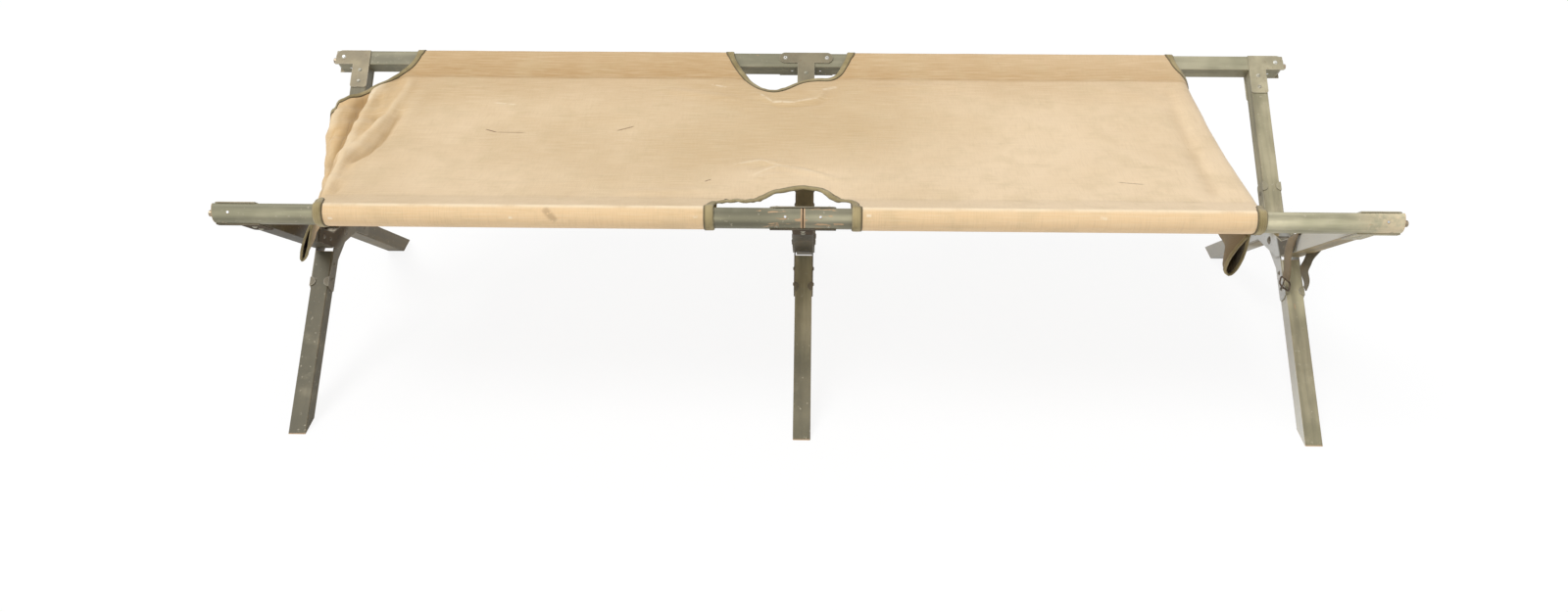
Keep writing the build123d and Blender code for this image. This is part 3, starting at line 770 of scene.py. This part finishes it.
def leg_point(s, n):
    """Y and Z of a point of the rear frame, given up the leg and off it."""
    across = s * cos(LEG_SLOPE) - n * sin(LEG_SLOPE)
    return across, PIVOT_HEIGHT + s * sin(LEG_SLOPE) + n * cos(LEG_SLOPE)


def corner_arc(s, n, radius, first, last, steps):
    """Points round a corner of the rail's section, in Y and Z."""
    turns = [radians(first + (last - first) * i / steps) for i in range(steps + 1)]
    return [leg_point(s + radius * cos(a), n + radius * sin(a)) for a in turns]


def sleeve_path():
    """The rear sleeve's run in Y and Z: over the rail, round it and back up to its seam."""
    top = RAIL_REACH + RAIL_HEIGHT / 2
    bottom = RAIL_REACH - RAIL_HEIGHT / 2
    outer = -NEST_GAP - TIMBER_THICKNESS
    upright = 90.0 - degrees(LEG_SLOPE)
    fall = degrees(atan2(SEAM_DROP, SEAM_INSET))
    path = corner_arc(top - RAIL_INNER_ROUND, -NEST_GAP - RAIL_INNER_ROUND,
                      RAIL_INNER_ROUND + CLOTH_STAND, upright + fall, 0, 6)
    path += corner_arc(top - RAIL_OUTER_ROUND, outer + RAIL_OUTER_ROUND,
                       RAIL_OUTER_ROUND + CLOTH_STAND, 0, -90, 10)
    path += corner_arc(bottom + RAIL_EDGE_ROUND, outer + RAIL_EDGE_ROUND,
                       RAIL_EDGE_ROUND + CLOTH_STAND, -90, LEAVING_TURN, 4)
    path.append((path[0][0] - SEAM_INSET, path[0][1] - SEAM_DROP - SEAM_PLY))
    return path


SLEEVE_PATH = sleeve_path()
SLEEVE_STEPS = [dist(a, b) for a, b in zip(SLEEVE_PATH, SLEEVE_PATH[1:])]
SLEEVE_RUN = sum(SLEEVE_STEPS)
BED_HALF = SLEEVE_PATH[0][0]
BED_EDGE_HEIGHT = SLEEVE_PATH[0][1]
SEAM_HALF = BED_HALF - SEAM_INSET
CLOTH_HALF = BED_HALF + SLEEVE_RUN
CLOTH_END = SLEEVE_OUTER + FLAP_LENGTH
CORNER_DEPTH = BED_HALF - FLAP_HALF


def round_rail(run):
    """Y and Z at a run along the sleeve from the top of the rear rail."""
    for start, end, step in zip(SLEEVE_PATH, SLEEVE_PATH[1:], SLEEVE_STEPS):
        if run <= step:
            share = run / step
            return start[0] + (end[0] - start[0]) * share, start[1] + (end[1] - start[1]) * share
        run -= step
    return SLEEVE_PATH[-1]


def smooth_line(points, steps):
    """A smooth run through points."""
    padded = [points[0], *points, points[-1]]
    line = []
    for a, b, c, d in zip(padded, padded[1:], padded[2:], padded[3:]):
        for i in range(steps):
            t = i / steps
            line.append(tuple(
                0.5 * (2 * q + (r - p) * t + (2 * p - 5 * q + 4 * r - v) * t * t
                       + (3 * q - p - 3 * r + v) * t**3)
                for p, q, r, v in zip(a, b, c, d)))
    return line + [points[-1]]


def up_sleeve(stop):
    """Runs past the top of the rail, from a sleeve's seam back to a stop."""
    count = int((SLEEVE_RUN - stop) / END_STEP)
    return [SLEEVE_RUN - END_GAP - i * END_STEP for i in range(count)]


def scoop_edge(points, side):
    """A cutout's edge on the flat cloth, with the straight ends of its sleeves."""
    (left, left_depth), (right, right_depth) = points[0], points[-1]
    up_left = [(left, -run) for run in up_sleeve(END_GAP - left_depth)]
    up_right = [(right, -run) for run in up_sleeve(END_GAP - right_depth)]
    line = up_left + smooth_line(points, 5) + up_right[::-1]
    return [(x, side * (BED_HALF - depth)) for x, depth in line]


SCOOPS = {1: scoop_edge(REAR_SCOOP, 1), -1: scoop_edge(FRONT_SCOOP, -1)}


def nearest_on(line, x, u):
    """The nearest point of a line on the flat cloth, and how far off it is."""
    best = (1e9, x, u)
    for (ax, au), (bx, bu) in zip(line, line[1:]):
        run_x, run_u = bx - ax, bu - au
        share = clamp(((x - ax) * run_x + (u - au) * run_u) / max(1e-9, run_x**2 + run_u**2))
        px, pu = ax + run_x * share, au + run_u * share
        best = min(best, (hypot(x - px, u - pu), px, pu))
    return best


def in_scoop(x, u):
    """True within a cutout: counts the edge's crossings toward the rail."""
    side = side_of(u)
    crossed = 0
    for (ax, au), (bx, bu) in zip(SCOOPS[side], SCOOPS[side][1:]):
        if (ax > x) != (bx > x):
            level = au + (bu - au) * (x - ax) / (bx - ax)
            crossed += (u - level) * side > 0
    return crossed % 2 == 1


def ridge(x, u, line, width, height):
    """A soft fold along a line on the flat cloth, fading out at its ends."""
    off, px, pu = nearest_on(line, x, u)
    if off > 3 * width:
        return 0.0
    ends = min(dist((px, pu), line[0]), dist((px, pu), line[-1]))
    return height * smoothstep(-8, 45, ends) * exp(-((off / width) ** 2))


# Folds: a line on the flat cloth, then the fold's width and how far it rises
FOLDS = (
    (((-848, 270), (-857, 206), (-860, 130), (-850, 25), (-838, -98), (-829, -200), (-822, -262)), 8.0, 8.0),
    (((-803, 262), (-804, 180), (-809, 102), (-820, 22), (-828, -54), (-836, -120)), 8.0, 5.5),
    (((-786, 130), (-791, 40), (-797, -34), (-808, -80), (-826, -118)), 10.0, -8.0),
    (((-832, 130), (-832, 60), (-838, 0)), 9.0, -5.0),
    (((-888, 262), (-880, 205), (-874, 134), (-878, 60), (-880, 0), (-888, -46)), 13.0, -14.0),
    (((-906, 236), (-907, 150), (-902, 60)), 11.0, 8.0),
    (((-926, 128), (-908, 104), (-888, 66)), 8.0, -9.0),
    (((-934, 30), (-906, -10), (-880, -90), (-858, -170)), 11.0, -9.0),
    (((-806, -268), (-808, -234), (-806, -196)), 7.0, -4.5),
    (((-792, -262), (-788, -225)), 7.0, 3.0),
    (((-768, 235), (-774, 120), (-770, 20)), 22.0, 3.0),
    (((722, 225), (716, 100), (712, -10), (708, -120), (702, -250)), 18.0, -3.6),
    (((744, 235), (738, 100), (732, -20), (728, -160)), 11.0, 2.0),
    (((560, 240), (690, 190), (745, 150)), 20.0, 2.0),
    (((-300, 215), (-190, 190), (-120, 172)), 9.0, 2.6),
    (((-100, 205), (-68, 164), (-22, 158), (24, 174), (44, 224)), 7.0, 3.6),
    (((-92, 176), (-50, 144), (20, 152), (60, 190)), 8.0, -3.0),
    (((100, 215), (220, 232), (330, 236)), 10.0, 2.0),
    (((-128, -112), (-80, -94), (-36, -110), (20, -146), (72, -184)), 7.0, 3.4),
    (((-92, -158), (-48, -120), (0, -146), (44, -160)), 6.0, 3.0),
    (((-110, -136), (-60, -108), (10, -128), (60, -166)), 6.0, -3.0),
    (((-106, -196), (-64, -158), (-18, -148)), 6.0, 2.6),
    (((-330, -236), (-210, -226), (-130, -214)), 10.0, 2.0),
)


def creases(x, u):
    """How far folds and the small wrinkles of the gathered left end lift the cloth, in millimetres."""
    wrinkle = 4.5 * noise.noise(Vector(((x + 0.10 * u) / 15, u / 62, 9.1)))
    wrinkle += 2.8 * noise.noise(Vector((x / 30, u / 24, 4.4)))
    gathered = smoothstep(-770, -835, x) * smoothstep(-250, -180, u)
    return sum(ridge(x, u, *fold) for fold in FOLDS) + wrinkle * gathered


def bed_relief(x, u):
    """How far slack and creases lift the bed cloth, in millimetres."""
    held = smoothstep(BED_HALF, SEAM_HALF - 20, abs(u))
    lift = creases(x, u)
    slack = 2.0 * noise.noise(Vector((x / 260, u / 120, 3.1)))
    slack += 0.9 * noise.noise(Vector((x / 75, u / 45, 7.7)))
    lips = 0.0
    if abs(x - SCOOP_MIDDLE) < SCOOP_REACH and abs(u) > SCOOP_FOOT:
        off = nearest_on(SCOOPS[side_of(u)], x, u)[0]
        crumple = 2.6 * noise.noise(Vector((x / 17, 2.0, 0.4))) + 1.6 * sin(x / 11)
        lips = (crumple if u < 0 else 0.5 * crumple - 3.0) * exp(-off / 16)
    return held * (lift + slack) + lips * smoothstep(BED_HALF - 12, SEAM_HALF - 6, abs(u))


def bed_height(u):
    """Height of the slack bed, and of its sleeves' slope up to the rails."""
    away = abs(u)
    if away >= SEAM_HALF:
        return BED_EDGE_HEIGHT - SEAM_DROP * (BED_HALF - away) / SEAM_INSET
    return BED_EDGE_HEIGHT - SEAM_DROP - BED_SAG * (1 - (away / SEAM_HALF) ** 2)


def blend_of(ends, share):
    return ends[0] + (ends[1] - ends[0]) * share


def station(droops, share):
    """A flap's droop at a share of its width, front to rear."""
    spot = share * (len(droops) - 1)
    index = min(int(spot), len(droops) - 2)
    return droops[index] + (droops[index + 1] - droops[index]) * smoothstep(0, 1, spot - index)


def bent_run(run, flat_run, bend, turn):
    """Out, up and slope of cloth that goes flat, then bends down and then goes straight."""
    if run <= flat_run:
        return run, 0.0, 0.0
    radius = bend / turn
    slope = turn * min(1.0, (run - flat_run) / bend)
    rest = max(0.0, run - flat_run - bend)
    out = flat_run + radius * sin(slope) + rest * cos(slope)
    return out, radius * (cos(slope) - 1) - rest * sin(slope), slope


def flap_path(run, flat_run, bend, droop, stand):
    """Out and up of a flap's cloth at a run past the panel's end, with its pocket's loop."""
    there = min(run, 2 * POCKET_FOOT - run)
    out, up, slope = bent_run(there, flat_run, bend, radians(droop))
    share = clamp((there - POCKET_TOP) / POCKET)
    loop = LOOP_PEAK * share * sqrt(1 - share)
    off = stand[0] * loop
    if run > POCKET_FOOT:
        off = -stand[1] * loop - POCKET_PLY * smoothstep(1.0, 0.9, share)
    return out + off * sin(slope), up + off * cos(slope)


def hung_flap(way, past, u):
    """Out, across and up of the left or right flap's cloth at a run past the sleeves' ends."""
    share = clamp((u + FLAP_HALF) / (2 * FLAP_HALF))
    if way > 0:
        out, up = flap_path(past, 0.0, FLAP_FOLD, station(RIGHT_DROOP, share), RIGHT_POCKET)
        return out, u, up
    out, up = flap_path(past, blend_of(LEFT_FLAT_RUN, share), blend_of(LEFT_BEND, share),
                        blend_of(LEFT_DROOP, share), LEFT_POCKET)
    drawn = -FLAP_HALF + (u + FLAP_HALF) * (LEFT_REAR_CORNER + FLAP_HALF) / (2 * FLAP_HALF)
    facing = min(past, 2 * POCKET_FOOT - past)
    across = u + (drawn - u) * smoothstep(0, 120, facing) * smoothstep(-FLAP_HALF, 200, u)
    return out, across, up


def drape(x, u):
    """Where a point of the flat cloth lies on the cot, in metres."""
    if abs(u) > BED_HALF:
        y, z = round_rail(abs(u) - BED_HALF)
        loose = 0.5 * noise.noise(Vector((x / 60, u / 40, 1.3)))
        return Vector((x, (y + loose) * side_of(u), z + loose * 0.5)) * MM
    past = abs(x - CANVAS_SHIFT) - SLEEVE_OUTER
    way = side_of(x - CANVAS_SHIFT)
    facing = min(past, 2 * POCKET_FOOT - past)
    relief = bed_relief(CANVAS_SHIFT + way * (SLEEVE_OUTER + facing), u)
    height = bed_height(u) + relief
    if past <= 0:
        return Vector((x, u, height)) * MM
    out, across, up = hung_flap(way, past, u)
    wobble = 2.2 * noise.noise(Vector((u / 70, facing / 90, 5.0 + way)))
    stand = (wobble + 0.6 * relief) * smoothstep(0, 60, facing)
    return Vector((CANVAS_SHIFT + way * (SLEEVE_OUTER + out + stand), across, height + up)) * MM


def drape_normal(x, u):
    """Upper side of the draped cloth at a flat point."""
    step = 1.0
    run = drape(x + step, u) - drape(x - step, u)
    rise = drape(x, u + step) - drape(x, u - step)
    return run.cross(rise).normalized()


def corner_share(past, away):
    """Below one inside a flap's scooped corner."""
    return hypot((CORNER_END - past) / CORNER_RUN, (BED_HALF - away) / CORNER_DEPTH)


def on_cloth(x, u):
    """True where the cut cloth has a flat point."""
    past, away = abs(x - CANVAS_SHIFT), abs(u)
    if past <= SLEEVE_OUTER:
        return not in_scoop(x, u)
    if past < CORNER_END and away <= BED_HALF:
        return away <= FLAP_HALF or corner_share(past, away) >= 1
    return away <= FLAP_HALF


def to_cut_edge(x, u):
    """Flat point moved onto the cloth's scooped edges, if it lies next to one."""
    past, away = abs(x - CANVAS_SHIFT), abs(u)
    if past < SCOOP_REACH:
        off, px, pu = nearest_on(SCOOPS[side_of(u)], x, u)
        return (px, pu) if off < SCOOP_SNAP else (x, u)
    if SLEEVE_OUTER < past < CORNER_END and FLAP_HALF < away < BED_HALF:
        reach = corner_share(past, away)
        return (CANVAS_SHIFT + side_of(x - CANVAS_SHIFT) * (CORNER_END - (CORNER_END - past) / reach),
                side_of(u) * (BED_HALF - (BED_HALF - away) / reach))
    return x, u


def spaced(marks, pitch):
    """Places from the first mark to the last, near a pitch apart, that meet every mark."""
    places = [marks[0]]
    for start, end in zip(marks, marks[1:]):
        count = max(1, round((end - start) / pitch))
        places += [start + (end - start) * (i + 1) / count for i in range(count)]
    return places


def around_foot(*steps):
    """Places along the flat cloth at steps from a pocket's foot, the largest step first."""
    foot = SLEEVE_OUTER + POCKET_FOOT
    return [foot - step for step in steps] + [foot] + [foot + step for step in steps[::-1]]


def mirrored(half):
    """Places on both sides of zero, from those that start there."""
    return [-place for place in half[:0:-1]] + half


def cut_cloth(mesh):
    """Cuts the scoops and corners out of the flat cloth, whose object is the active one."""
    bpy.ops.object.mode_set(mode="EDIT")
    bpy.ops.mesh.select_mode(type="FACE")
    bpy.ops.mesh.select_all(action="DESELECT")
    bpy.ops.object.mode_set(mode="OBJECT")
    for face in mesh.polygons:
        face.select = not on_cloth(face.center.x, face.center.y)
    bpy.ops.object.mode_set(mode="EDIT")
    bpy.ops.mesh.delete(type="FACE")
    bpy.ops.mesh.select_mode(type="EDGE")
    bpy.ops.mesh.select_all(action="DESELECT")
    bpy.ops.mesh.select_non_manifold()
    bpy.ops.object.mode_set(mode="OBJECT")
    for vertex in mesh.vertices:
        if vertex.select:
            vertex.co = (*to_cut_edge(vertex.co.x, vertex.co.y), 0.0)


def make_canvas(material):
    """The bed cloth, cut flat in one piece and then laid over the rails, and its area."""
    half_columns = spaced((0.0, 160.0), 6.0) + spaced((160.0, SLEEVE_OUTER), 8.0)[1:]
    half_columns += spaced((SLEEVE_OUTER, *around_foot(16, 8, 3, 1), CLOTH_END), 6.0)[1:]
    half_rows = spaced((0.0, SEAM_HALF - 4, SEAM_HALF, FLAP_HALF, BED_HALF), 7.0)
    half_rows += spaced((BED_HALF, CLOTH_HALF), 3.5)[1:]
    xs = [CANVAS_SHIFT + place for place in mirrored(half_columns)]
    us = mirrored(half_rows)
    piece, spots = grid_piece("canvas_bed", len(xs) - 1, len(us) - 1)
    mesh = piece.data
    for vertex, (i, j) in zip(mesh.vertices, spots):
        vertex.co = (xs[i], us[j], 0.0)
    cut_cloth(mesh)
    flat = [(v.co.x, v.co.y) for v in mesh.vertices]
    lay_flat(piece, flat)
    cut_area = sum(face.area for face in mesh.polygons) * MM * MM
    crease = mesh.attributes.new("crease", "FLOAT", "POINT")
    for vertex, value, point in zip(mesh.vertices, crease.data, flat):
        value.value = creases(*point)
        vertex.co = drape(*point)
    apply_modifier(piece, "SOLIDIFY", thickness=CLOTH_THICKNESS * MM, offset=0.0)
    dress(piece, material)
    return piece, cut_area


def scoop_binding(side):
    """A middle cutout's bound edge on the flat cloth: points with the way into the cloth at each."""
    line = SCOOPS[side]
    run = []
    for point, behind, ahead in zip(line, line[:1] + line, line[1:] + line[-1:]):
        inward = Vector((behind[1] - ahead[1], ahead[0] - behind[0])).normalized() * -side
        run.append((point, tuple(inward)))
    return run


def flap_binding(side, way):
    """The bound edge of a sleeve's end, a flap's scooped corner and its side, in the same form."""
    run = []
    for past_top in up_sleeve(END_GAP):
        edge = (CANVAS_SHIFT + way * SLEEVE_OUTER, side * (BED_HALF + past_top))
        run.append((edge, (-way, 0.0)))
    for i in range(CORNER_STEPS + 1):
        turn = pi / 2 * i / CORNER_STEPS
        edge = (CANVAS_SHIFT + way * (CORNER_END - CORNER_RUN * cos(turn)),
                side * (BED_HALF - CORNER_DEPTH * sin(turn)))
        inward = Vector((-way * cos(turn) / CORNER_RUN, -side * sin(turn) / CORNER_DEPTH))
        run.append((edge, tuple(inward.normalized())))
    for past in spaced((CORNER_END, *around_foot(16, 6, 2), CLOTH_END), 4.0)[1:]:
        run.append(((CANVAS_SHIFT + way * past, side * FLAP_HALF), (0.0, -side)))
    return run


def bind_edge(name, run, seed, frayed_spots):
    """Tape folded over one run of the cloth's cut edge."""
    piece, spots = grid_piece(name, len(run) - 1, len(BINDING_SECTION) - 1)
    along = distances([edge for edge, inward in run])
    lay_flat(piece, [(along[i], BINDING_RUN * j) for i, j in spots])
    for vertex, (i, j) in zip(piece.data.vertices, spots):
        (x, u), inward = run[i]
        depth, face = BINDING_SECTION[j]
        depth *= 1 + 0.4 * smoothstep(BED_HALF - 14, BED_HALF + 2, abs(u))
        frayed = sum(smoothstep(end, full, abs(x - spot)) for spot, full, end in frayed_spots)
        worn = BINDING_RIPPLE + FRAYED_RIPPLE * frayed
        ripple = worn * noise.noise(Vector((along[i] / 9, j * 1.7, seed)))
        spot = (x + inward[0] * depth, u + inward[1] * depth)
        lift = face * BINDING_STAND + ripple
        vertex.co = drape(*spot) + drape_normal(*spot) * lift * MM
    return piece


def make_binding(material):
    """Tape over all the cut edges, as one piece."""
    runs = []
    for side in (-1, 1):
        runs += [scoop_binding(side), flap_binding(side, -1), flap_binding(side, 1)]
    pieces = []
    for index, run in enumerate(runs):
        frayed_spots = FRAYED_SPOTS if index == 0 else ()
        pieces.append(bind_edge(f"binding_{index}", run, index, frayed_spots))
    deselect()
    for piece in pieces:
        piece.select_set(True)
    bpy.context.view_layer.objects.active = pieces[0]
    bpy.ops.object.join()
    binding = bpy.context.object
    binding.name = "canvas_binding"
    apply_modifier(binding, "SOLIDIFY", thickness=BINDING_THICKNESS * MM, offset=0.0)
    return dress(binding, material)


def bell(place, middle, width):
    """One at a middle, and soon zero away from it."""
    return exp(-(((place - middle) / width) ** 2))


def strap_stops():
    """The strap's middle, and the way across it, from its buckle over the leg to its tail's end."""
    half = FRONT_LEG_WIDTH / 2 + STRAP_STAND
    across, height = leg_point(STRAP_SPOT, -NEST_GAP + STRAP_THICKNESS / 2)
    top = Vector((END_LEG_X, -across, height))
    along_leg = Vector((0.0, -cos(LEG_SLOPE), sin(LEG_SLOPE)))
    stops = []
    for i in range(BUCKLED_STEPS + 1):
        drop = BUCKLED_DROP * (1 - i / BUCKLED_STEPS)
        sway = 3.5 * sin(drop / 24) * smoothstep(0, 40, drop)
        shift = -5.5 * smoothstep(2, 16, drop) + 5.0 * smoothstep(40, 84, drop)
        centre = top + Vector((-half + shift, sway, -drop))
        stops.append((centre, along_leg.lerp(BUCKLED_WAY, smoothstep(1, 18, drop)).normalized()))
    for i in range(1, OVER_STEPS):
        share = i / OVER_STEPS
        stops.append((top + Vector((-half + 2 * half * share, 0.0, 0.4 * sin(pi * share))), along_leg))
    for i in range(TAIL_STEPS + 1):
        drop = TAIL_DROP * i / TAIL_STEPS
        shift = 4.0 * smoothstep(84, 110, drop) - 14.0 * smoothstep(24, 58, drop)
        shift -= 5.0 * bell(drop, TAIL_KINK, 10)
        centre = top + Vector((half + shift, 4.0 * sin(drop / 25), -drop))
        way = along_leg.lerp(TAIL_WAY, smoothstep(1, 18, drop))
        way.x += 0.2 * bell(drop, TAIL_CURL, 12) - 0.45 * smoothstep(94, TAIL_DROP, drop)
        stops.append((centre, way.normalized()))
    return stops


def make_strap(material):
    """Webbing across the right front leg: the buckled end on its left, a tail on its right."""
    stops = strap_stops()
    piece, spots = grid_piece("tie_strap_webbing", len(stops) - 1, STRAP_COLUMNS)
    along = distances([centre for centre, wide in stops])
    lay_flat(piece, [(along[i], STRAP_WIDTH * j / STRAP_COLUMNS) for i, j in spots])
    for vertex, (i, j) in zip(piece.data.vertices, spots):
        centre, wide = stops[i]
        vertex.co = (centre + wide * (j / STRAP_COLUMNS - 0.5) * STRAP_WIDTH) * MM
    apply_modifier(piece, "SUBSURF", levels=1, render_levels=1)
    apply_modifier(piece, "SOLIDIFY", thickness=STRAP_THICKNESS * MM, offset=0.0)
    dress(piece, material)
    return piece, stops[0][0]


def make_buckle_wire(material, centre, through):
    """The buckle's wire: a ring drawn out to a rounded oblong."""
    thin = 0.1
    deselect()
    bpy.ops.mesh.primitive_torus_add(
        major_radius=1.0, minor_radius=thin, major_segments=40, minor_segments=10)
    ring = bpy.context.object
    ring.name = "buckle_wire"
    half_width, half_height = BUCKLE_WIDTH / 2, BUCKLE_HEIGHT / 2
    for vertex in ring.data.vertices:
        turn = atan2(vertex.co.y, vertex.co.x)
        thick = (hypot(vertex.co.x, vertex.co.y) - 1.0) / thin * BUCKLE_WIRE
        square = (abs(cos(turn)) ** 4 + abs(sin(turn)) ** 4) ** -0.25
        wide = (half_width - BUCKLE_WIRE + thick) * square * cos(turn)
        high = (half_height - BUCKLE_WIRE + thick) * square * sin(turn)
        wide = max(-half_width, min(half_width, wide))
        high = max(-half_height, min(half_height, high))
        deep = vertex.co.z / thin * BUCKLE_WIRE
        vertex.co = (centre - BUCKLED_WAY * wide + through * deep + Vector((0.0, 0.0, high))) * MM
    return dress(ring, material)


def make_tongue(material, centre, through):
    """The buckle's tongue: a bowed pin from its foot to its top."""
    deselect()
    bpy.ops.mesh.primitive_cylinder_add(vertices=10, radius=1.0, depth=1.0)
    tongue = bpy.context.object
    tongue.name = "buckle_pin"
    bpy.ops.object.mode_set(mode="EDIT")
    bpy.ops.mesh.select_all(action="SELECT")
    bpy.ops.mesh.subdivide(number_cuts=8)
    bpy.ops.object.mode_set(mode="OBJECT")
    for vertex in tongue.data.vertices:
        share = vertex.co.z + 0.5
        bow = -TONGUE_BOW * sin(pi * share) - BUCKLE_WIRE
        off = through * (bow + vertex.co.x * TONGUE_RADIUS) - BUCKLED_WAY * vertex.co.y * TONGUE_RADIUS
        vertex.co = (centre + off + Vector((0.0, 0.0, BUCKLE_HEIGHT * (share - 0.5)))) * MM
    apply_modifier(tongue, "BEVEL", width=TONGUE_EDGE * MM, segments=2)
    return dress(tongue, material)


def make_buckle(material, hang):
    """Bent-wire buckle at the strap's end, with its tongue."""
    centre = hang - Vector((0.0, 0.0, BUCKLE_HEIGHT / 2 - BUCKLE_LAP))
    through = Vector((-BUCKLED_WAY.y, BUCKLED_WAY.x, 0.0))
    return make_buckle_wire(material, centre, through), make_tongue(material, centre, through)


def paint_frame(finishes):
    """Gives every CAD node its finish: the longest part of its name that has one."""
    for name, node in nodes.items():
        fitting = [part for part in finishes if name.startswith(part)]
        material = finishes[max(fitting, key=len)] if fitting else finishes["pivot"]
        node.data.materials.clear()
        node.data.materials.append(material)


def make_floor():
    """Floor just under the feet, so that it never cuts them."""
    deselect()
    bpy.ops.mesh.primitive_plane_add(size=FLOOR_SIZE, location=(0, 0, -FLOOR_DROP))
    floor = bpy.context.object
    floor.name = "floor"
    floor.data.materials.append(pale_floor())


def make_light():
    """A sky that is white to the eye and softer on the cot, and a broad sun."""
    scene = bpy.context.scene
    scene.world = bpy.data.worlds.new("studio")
    scene.world.use_nodes = True
    sky = Wiring(scene.world.node_tree)
    glow = sky.tree.nodes["Background"]
    seen = sky.node("ShaderNodeLightPath", output="Is Camera Ray")
    sky.link(glow.inputs["Color"], (1.0, 1.0, 1.0))
    sky.link(glow.inputs["Strength"], SKY_LIGHT + seen * (1.0 - SKY_LIGHT))
    bpy.ops.object.light_add(type="SUN", rotation=[radians(turn) for turn in SUN_TURN])
    sun = bpy.context.object.data
    sun.energy = SUN_LIGHT
    sun.angle = radians(SUN_SPREAD)
    scene.view_settings.view_transform = "Standard"


def make_camera():
    """Camera fitted to the rail ends and leg ends in the photograph."""
    data = bpy.data.cameras.new("camera")
    camera = bpy.data.objects.new("camera", data)
    bpy.context.scene.collection.objects.link(camera)
    data.sensor_width = CAMERA_SENSOR
    data.lens = CAMERA_LENS
    turned = Matrix.Rotation(radians(CAMERA_TURN), 4, "Z")
    tipped = Matrix.Rotation(radians(90 - CAMERA_DIP), 4, "X")
    rolled = Matrix.Rotation(radians(CAMERA_ROLL), 4, "Z")
    camera.matrix_world = Matrix.Translation(CAMERA_PLACE) @ turned @ tipped @ rolled
    bpy.context.scene.camera = camera


def across_the_fold(piece):
    """Bakes the cloth's transform into its mesh."""
    edge = (SEAM_HALF - 6) * MM
    -edge
    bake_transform(piece)


plate_paint = painted_steel("plate_paint", left=(0.31, 0.26, 0.165), middle=(0.20, 0.172, 0.11),
                            right=(0.37, 0.33, 0.22), painted_side_lit=0.6)
splice_paint = painted_steel("splice_paint", left=(0.17, 0.148, 0.10), middle=(0.16, 0.14, 0.098),
                             right=(0.30, 0.27, 0.18), painted_side_lit=0.95)
dull_steel = bare_steel("dull_steel", bright=(0.24, 0.215, 0.17), dull=(0.12, 0.105, 0.08), matt=0.5)
split_steel = bare_steel("split_rivet_steel", bright=(0.72, 0.76, 0.78), dull=(0.45, 0.46, 0.44), matt=0.34)
pin_steel = bare_steel("pin_steel", bright=(0.52, 0.42, 0.30), dull=(0.28, 0.24, 0.18), matt=0.42)
buckle_steel = bare_steel("buckle_steel", bright=(0.16, 0.12, 0.085), dull=(0.05, 0.038, 0.028), matt=0.45)
binding_tape = tape("binding_tape", dark=(0.20, 0.155, 0.065), light=(0.36, 0.29, 0.15), pitch=0.0022)
strap_webbing = tape("strap_webbing", dark=(0.13, 0.092, 0.048), light=(0.215, 0.16, 0.09), pitch=0.0026,
                     faded=(0.155, 0.14, 0.098))
along_rear_leg = (-LEG_SLOPE, 0, radians(-90))
along_front_leg = (LEG_SLOPE, 0, radians(-90))
paint_frame({
    "rail": painted_timber("rail_paint", (0, 0, 0), rail_tone, RAIL_TINT),
    "leg_rear": painted_timber("rear_leg_paint", along_rear_leg, rear_leg_tone, REAR_LEG_TINT),
    "leg_front": painted_timber("front_leg_paint", along_front_leg, front_leg_tone, FRONT_LEG_TINT),
    "tee_bracket": plate_paint,
    "corner_bracket": plate_paint,
    "splice_plates": splice_paint,
    "tee_rivets": hollow_rivets(),
    "corner_rivets": corner_rivets(),
    "split_rivets": split_steel,
    "splice_rivets": dull_steel,
    "pivot": dull_steel,
    "end_pins": pin_steel,
    "strap_rivet": dull_steel,
})
bed, bed_area = make_canvas(canvas())
edging = make_binding(binding_tape)
webbing, strap_end = make_strap(strap_webbing)
wire, tongue = make_buckle(buckle_steel, strap_end)

for cloth in (bed, edging):
    across_the_fold(cloth)
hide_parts("canvas_panel", "canvas_flap_left", "canvas_flap_right",
            *[f"canvas_sleeve_{a}_{b}" for a in ("front", "rear") for b in ("left", "right")])
2 * CLOTH_HALF * MM
for piece, node in ((webbing, "tie_strap"), (wire, "strap_buckle"), (tongue, "buckle_tongue")):
    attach(piece, "front_frame")
    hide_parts(node)

make_floor()
make_light()
make_camera()
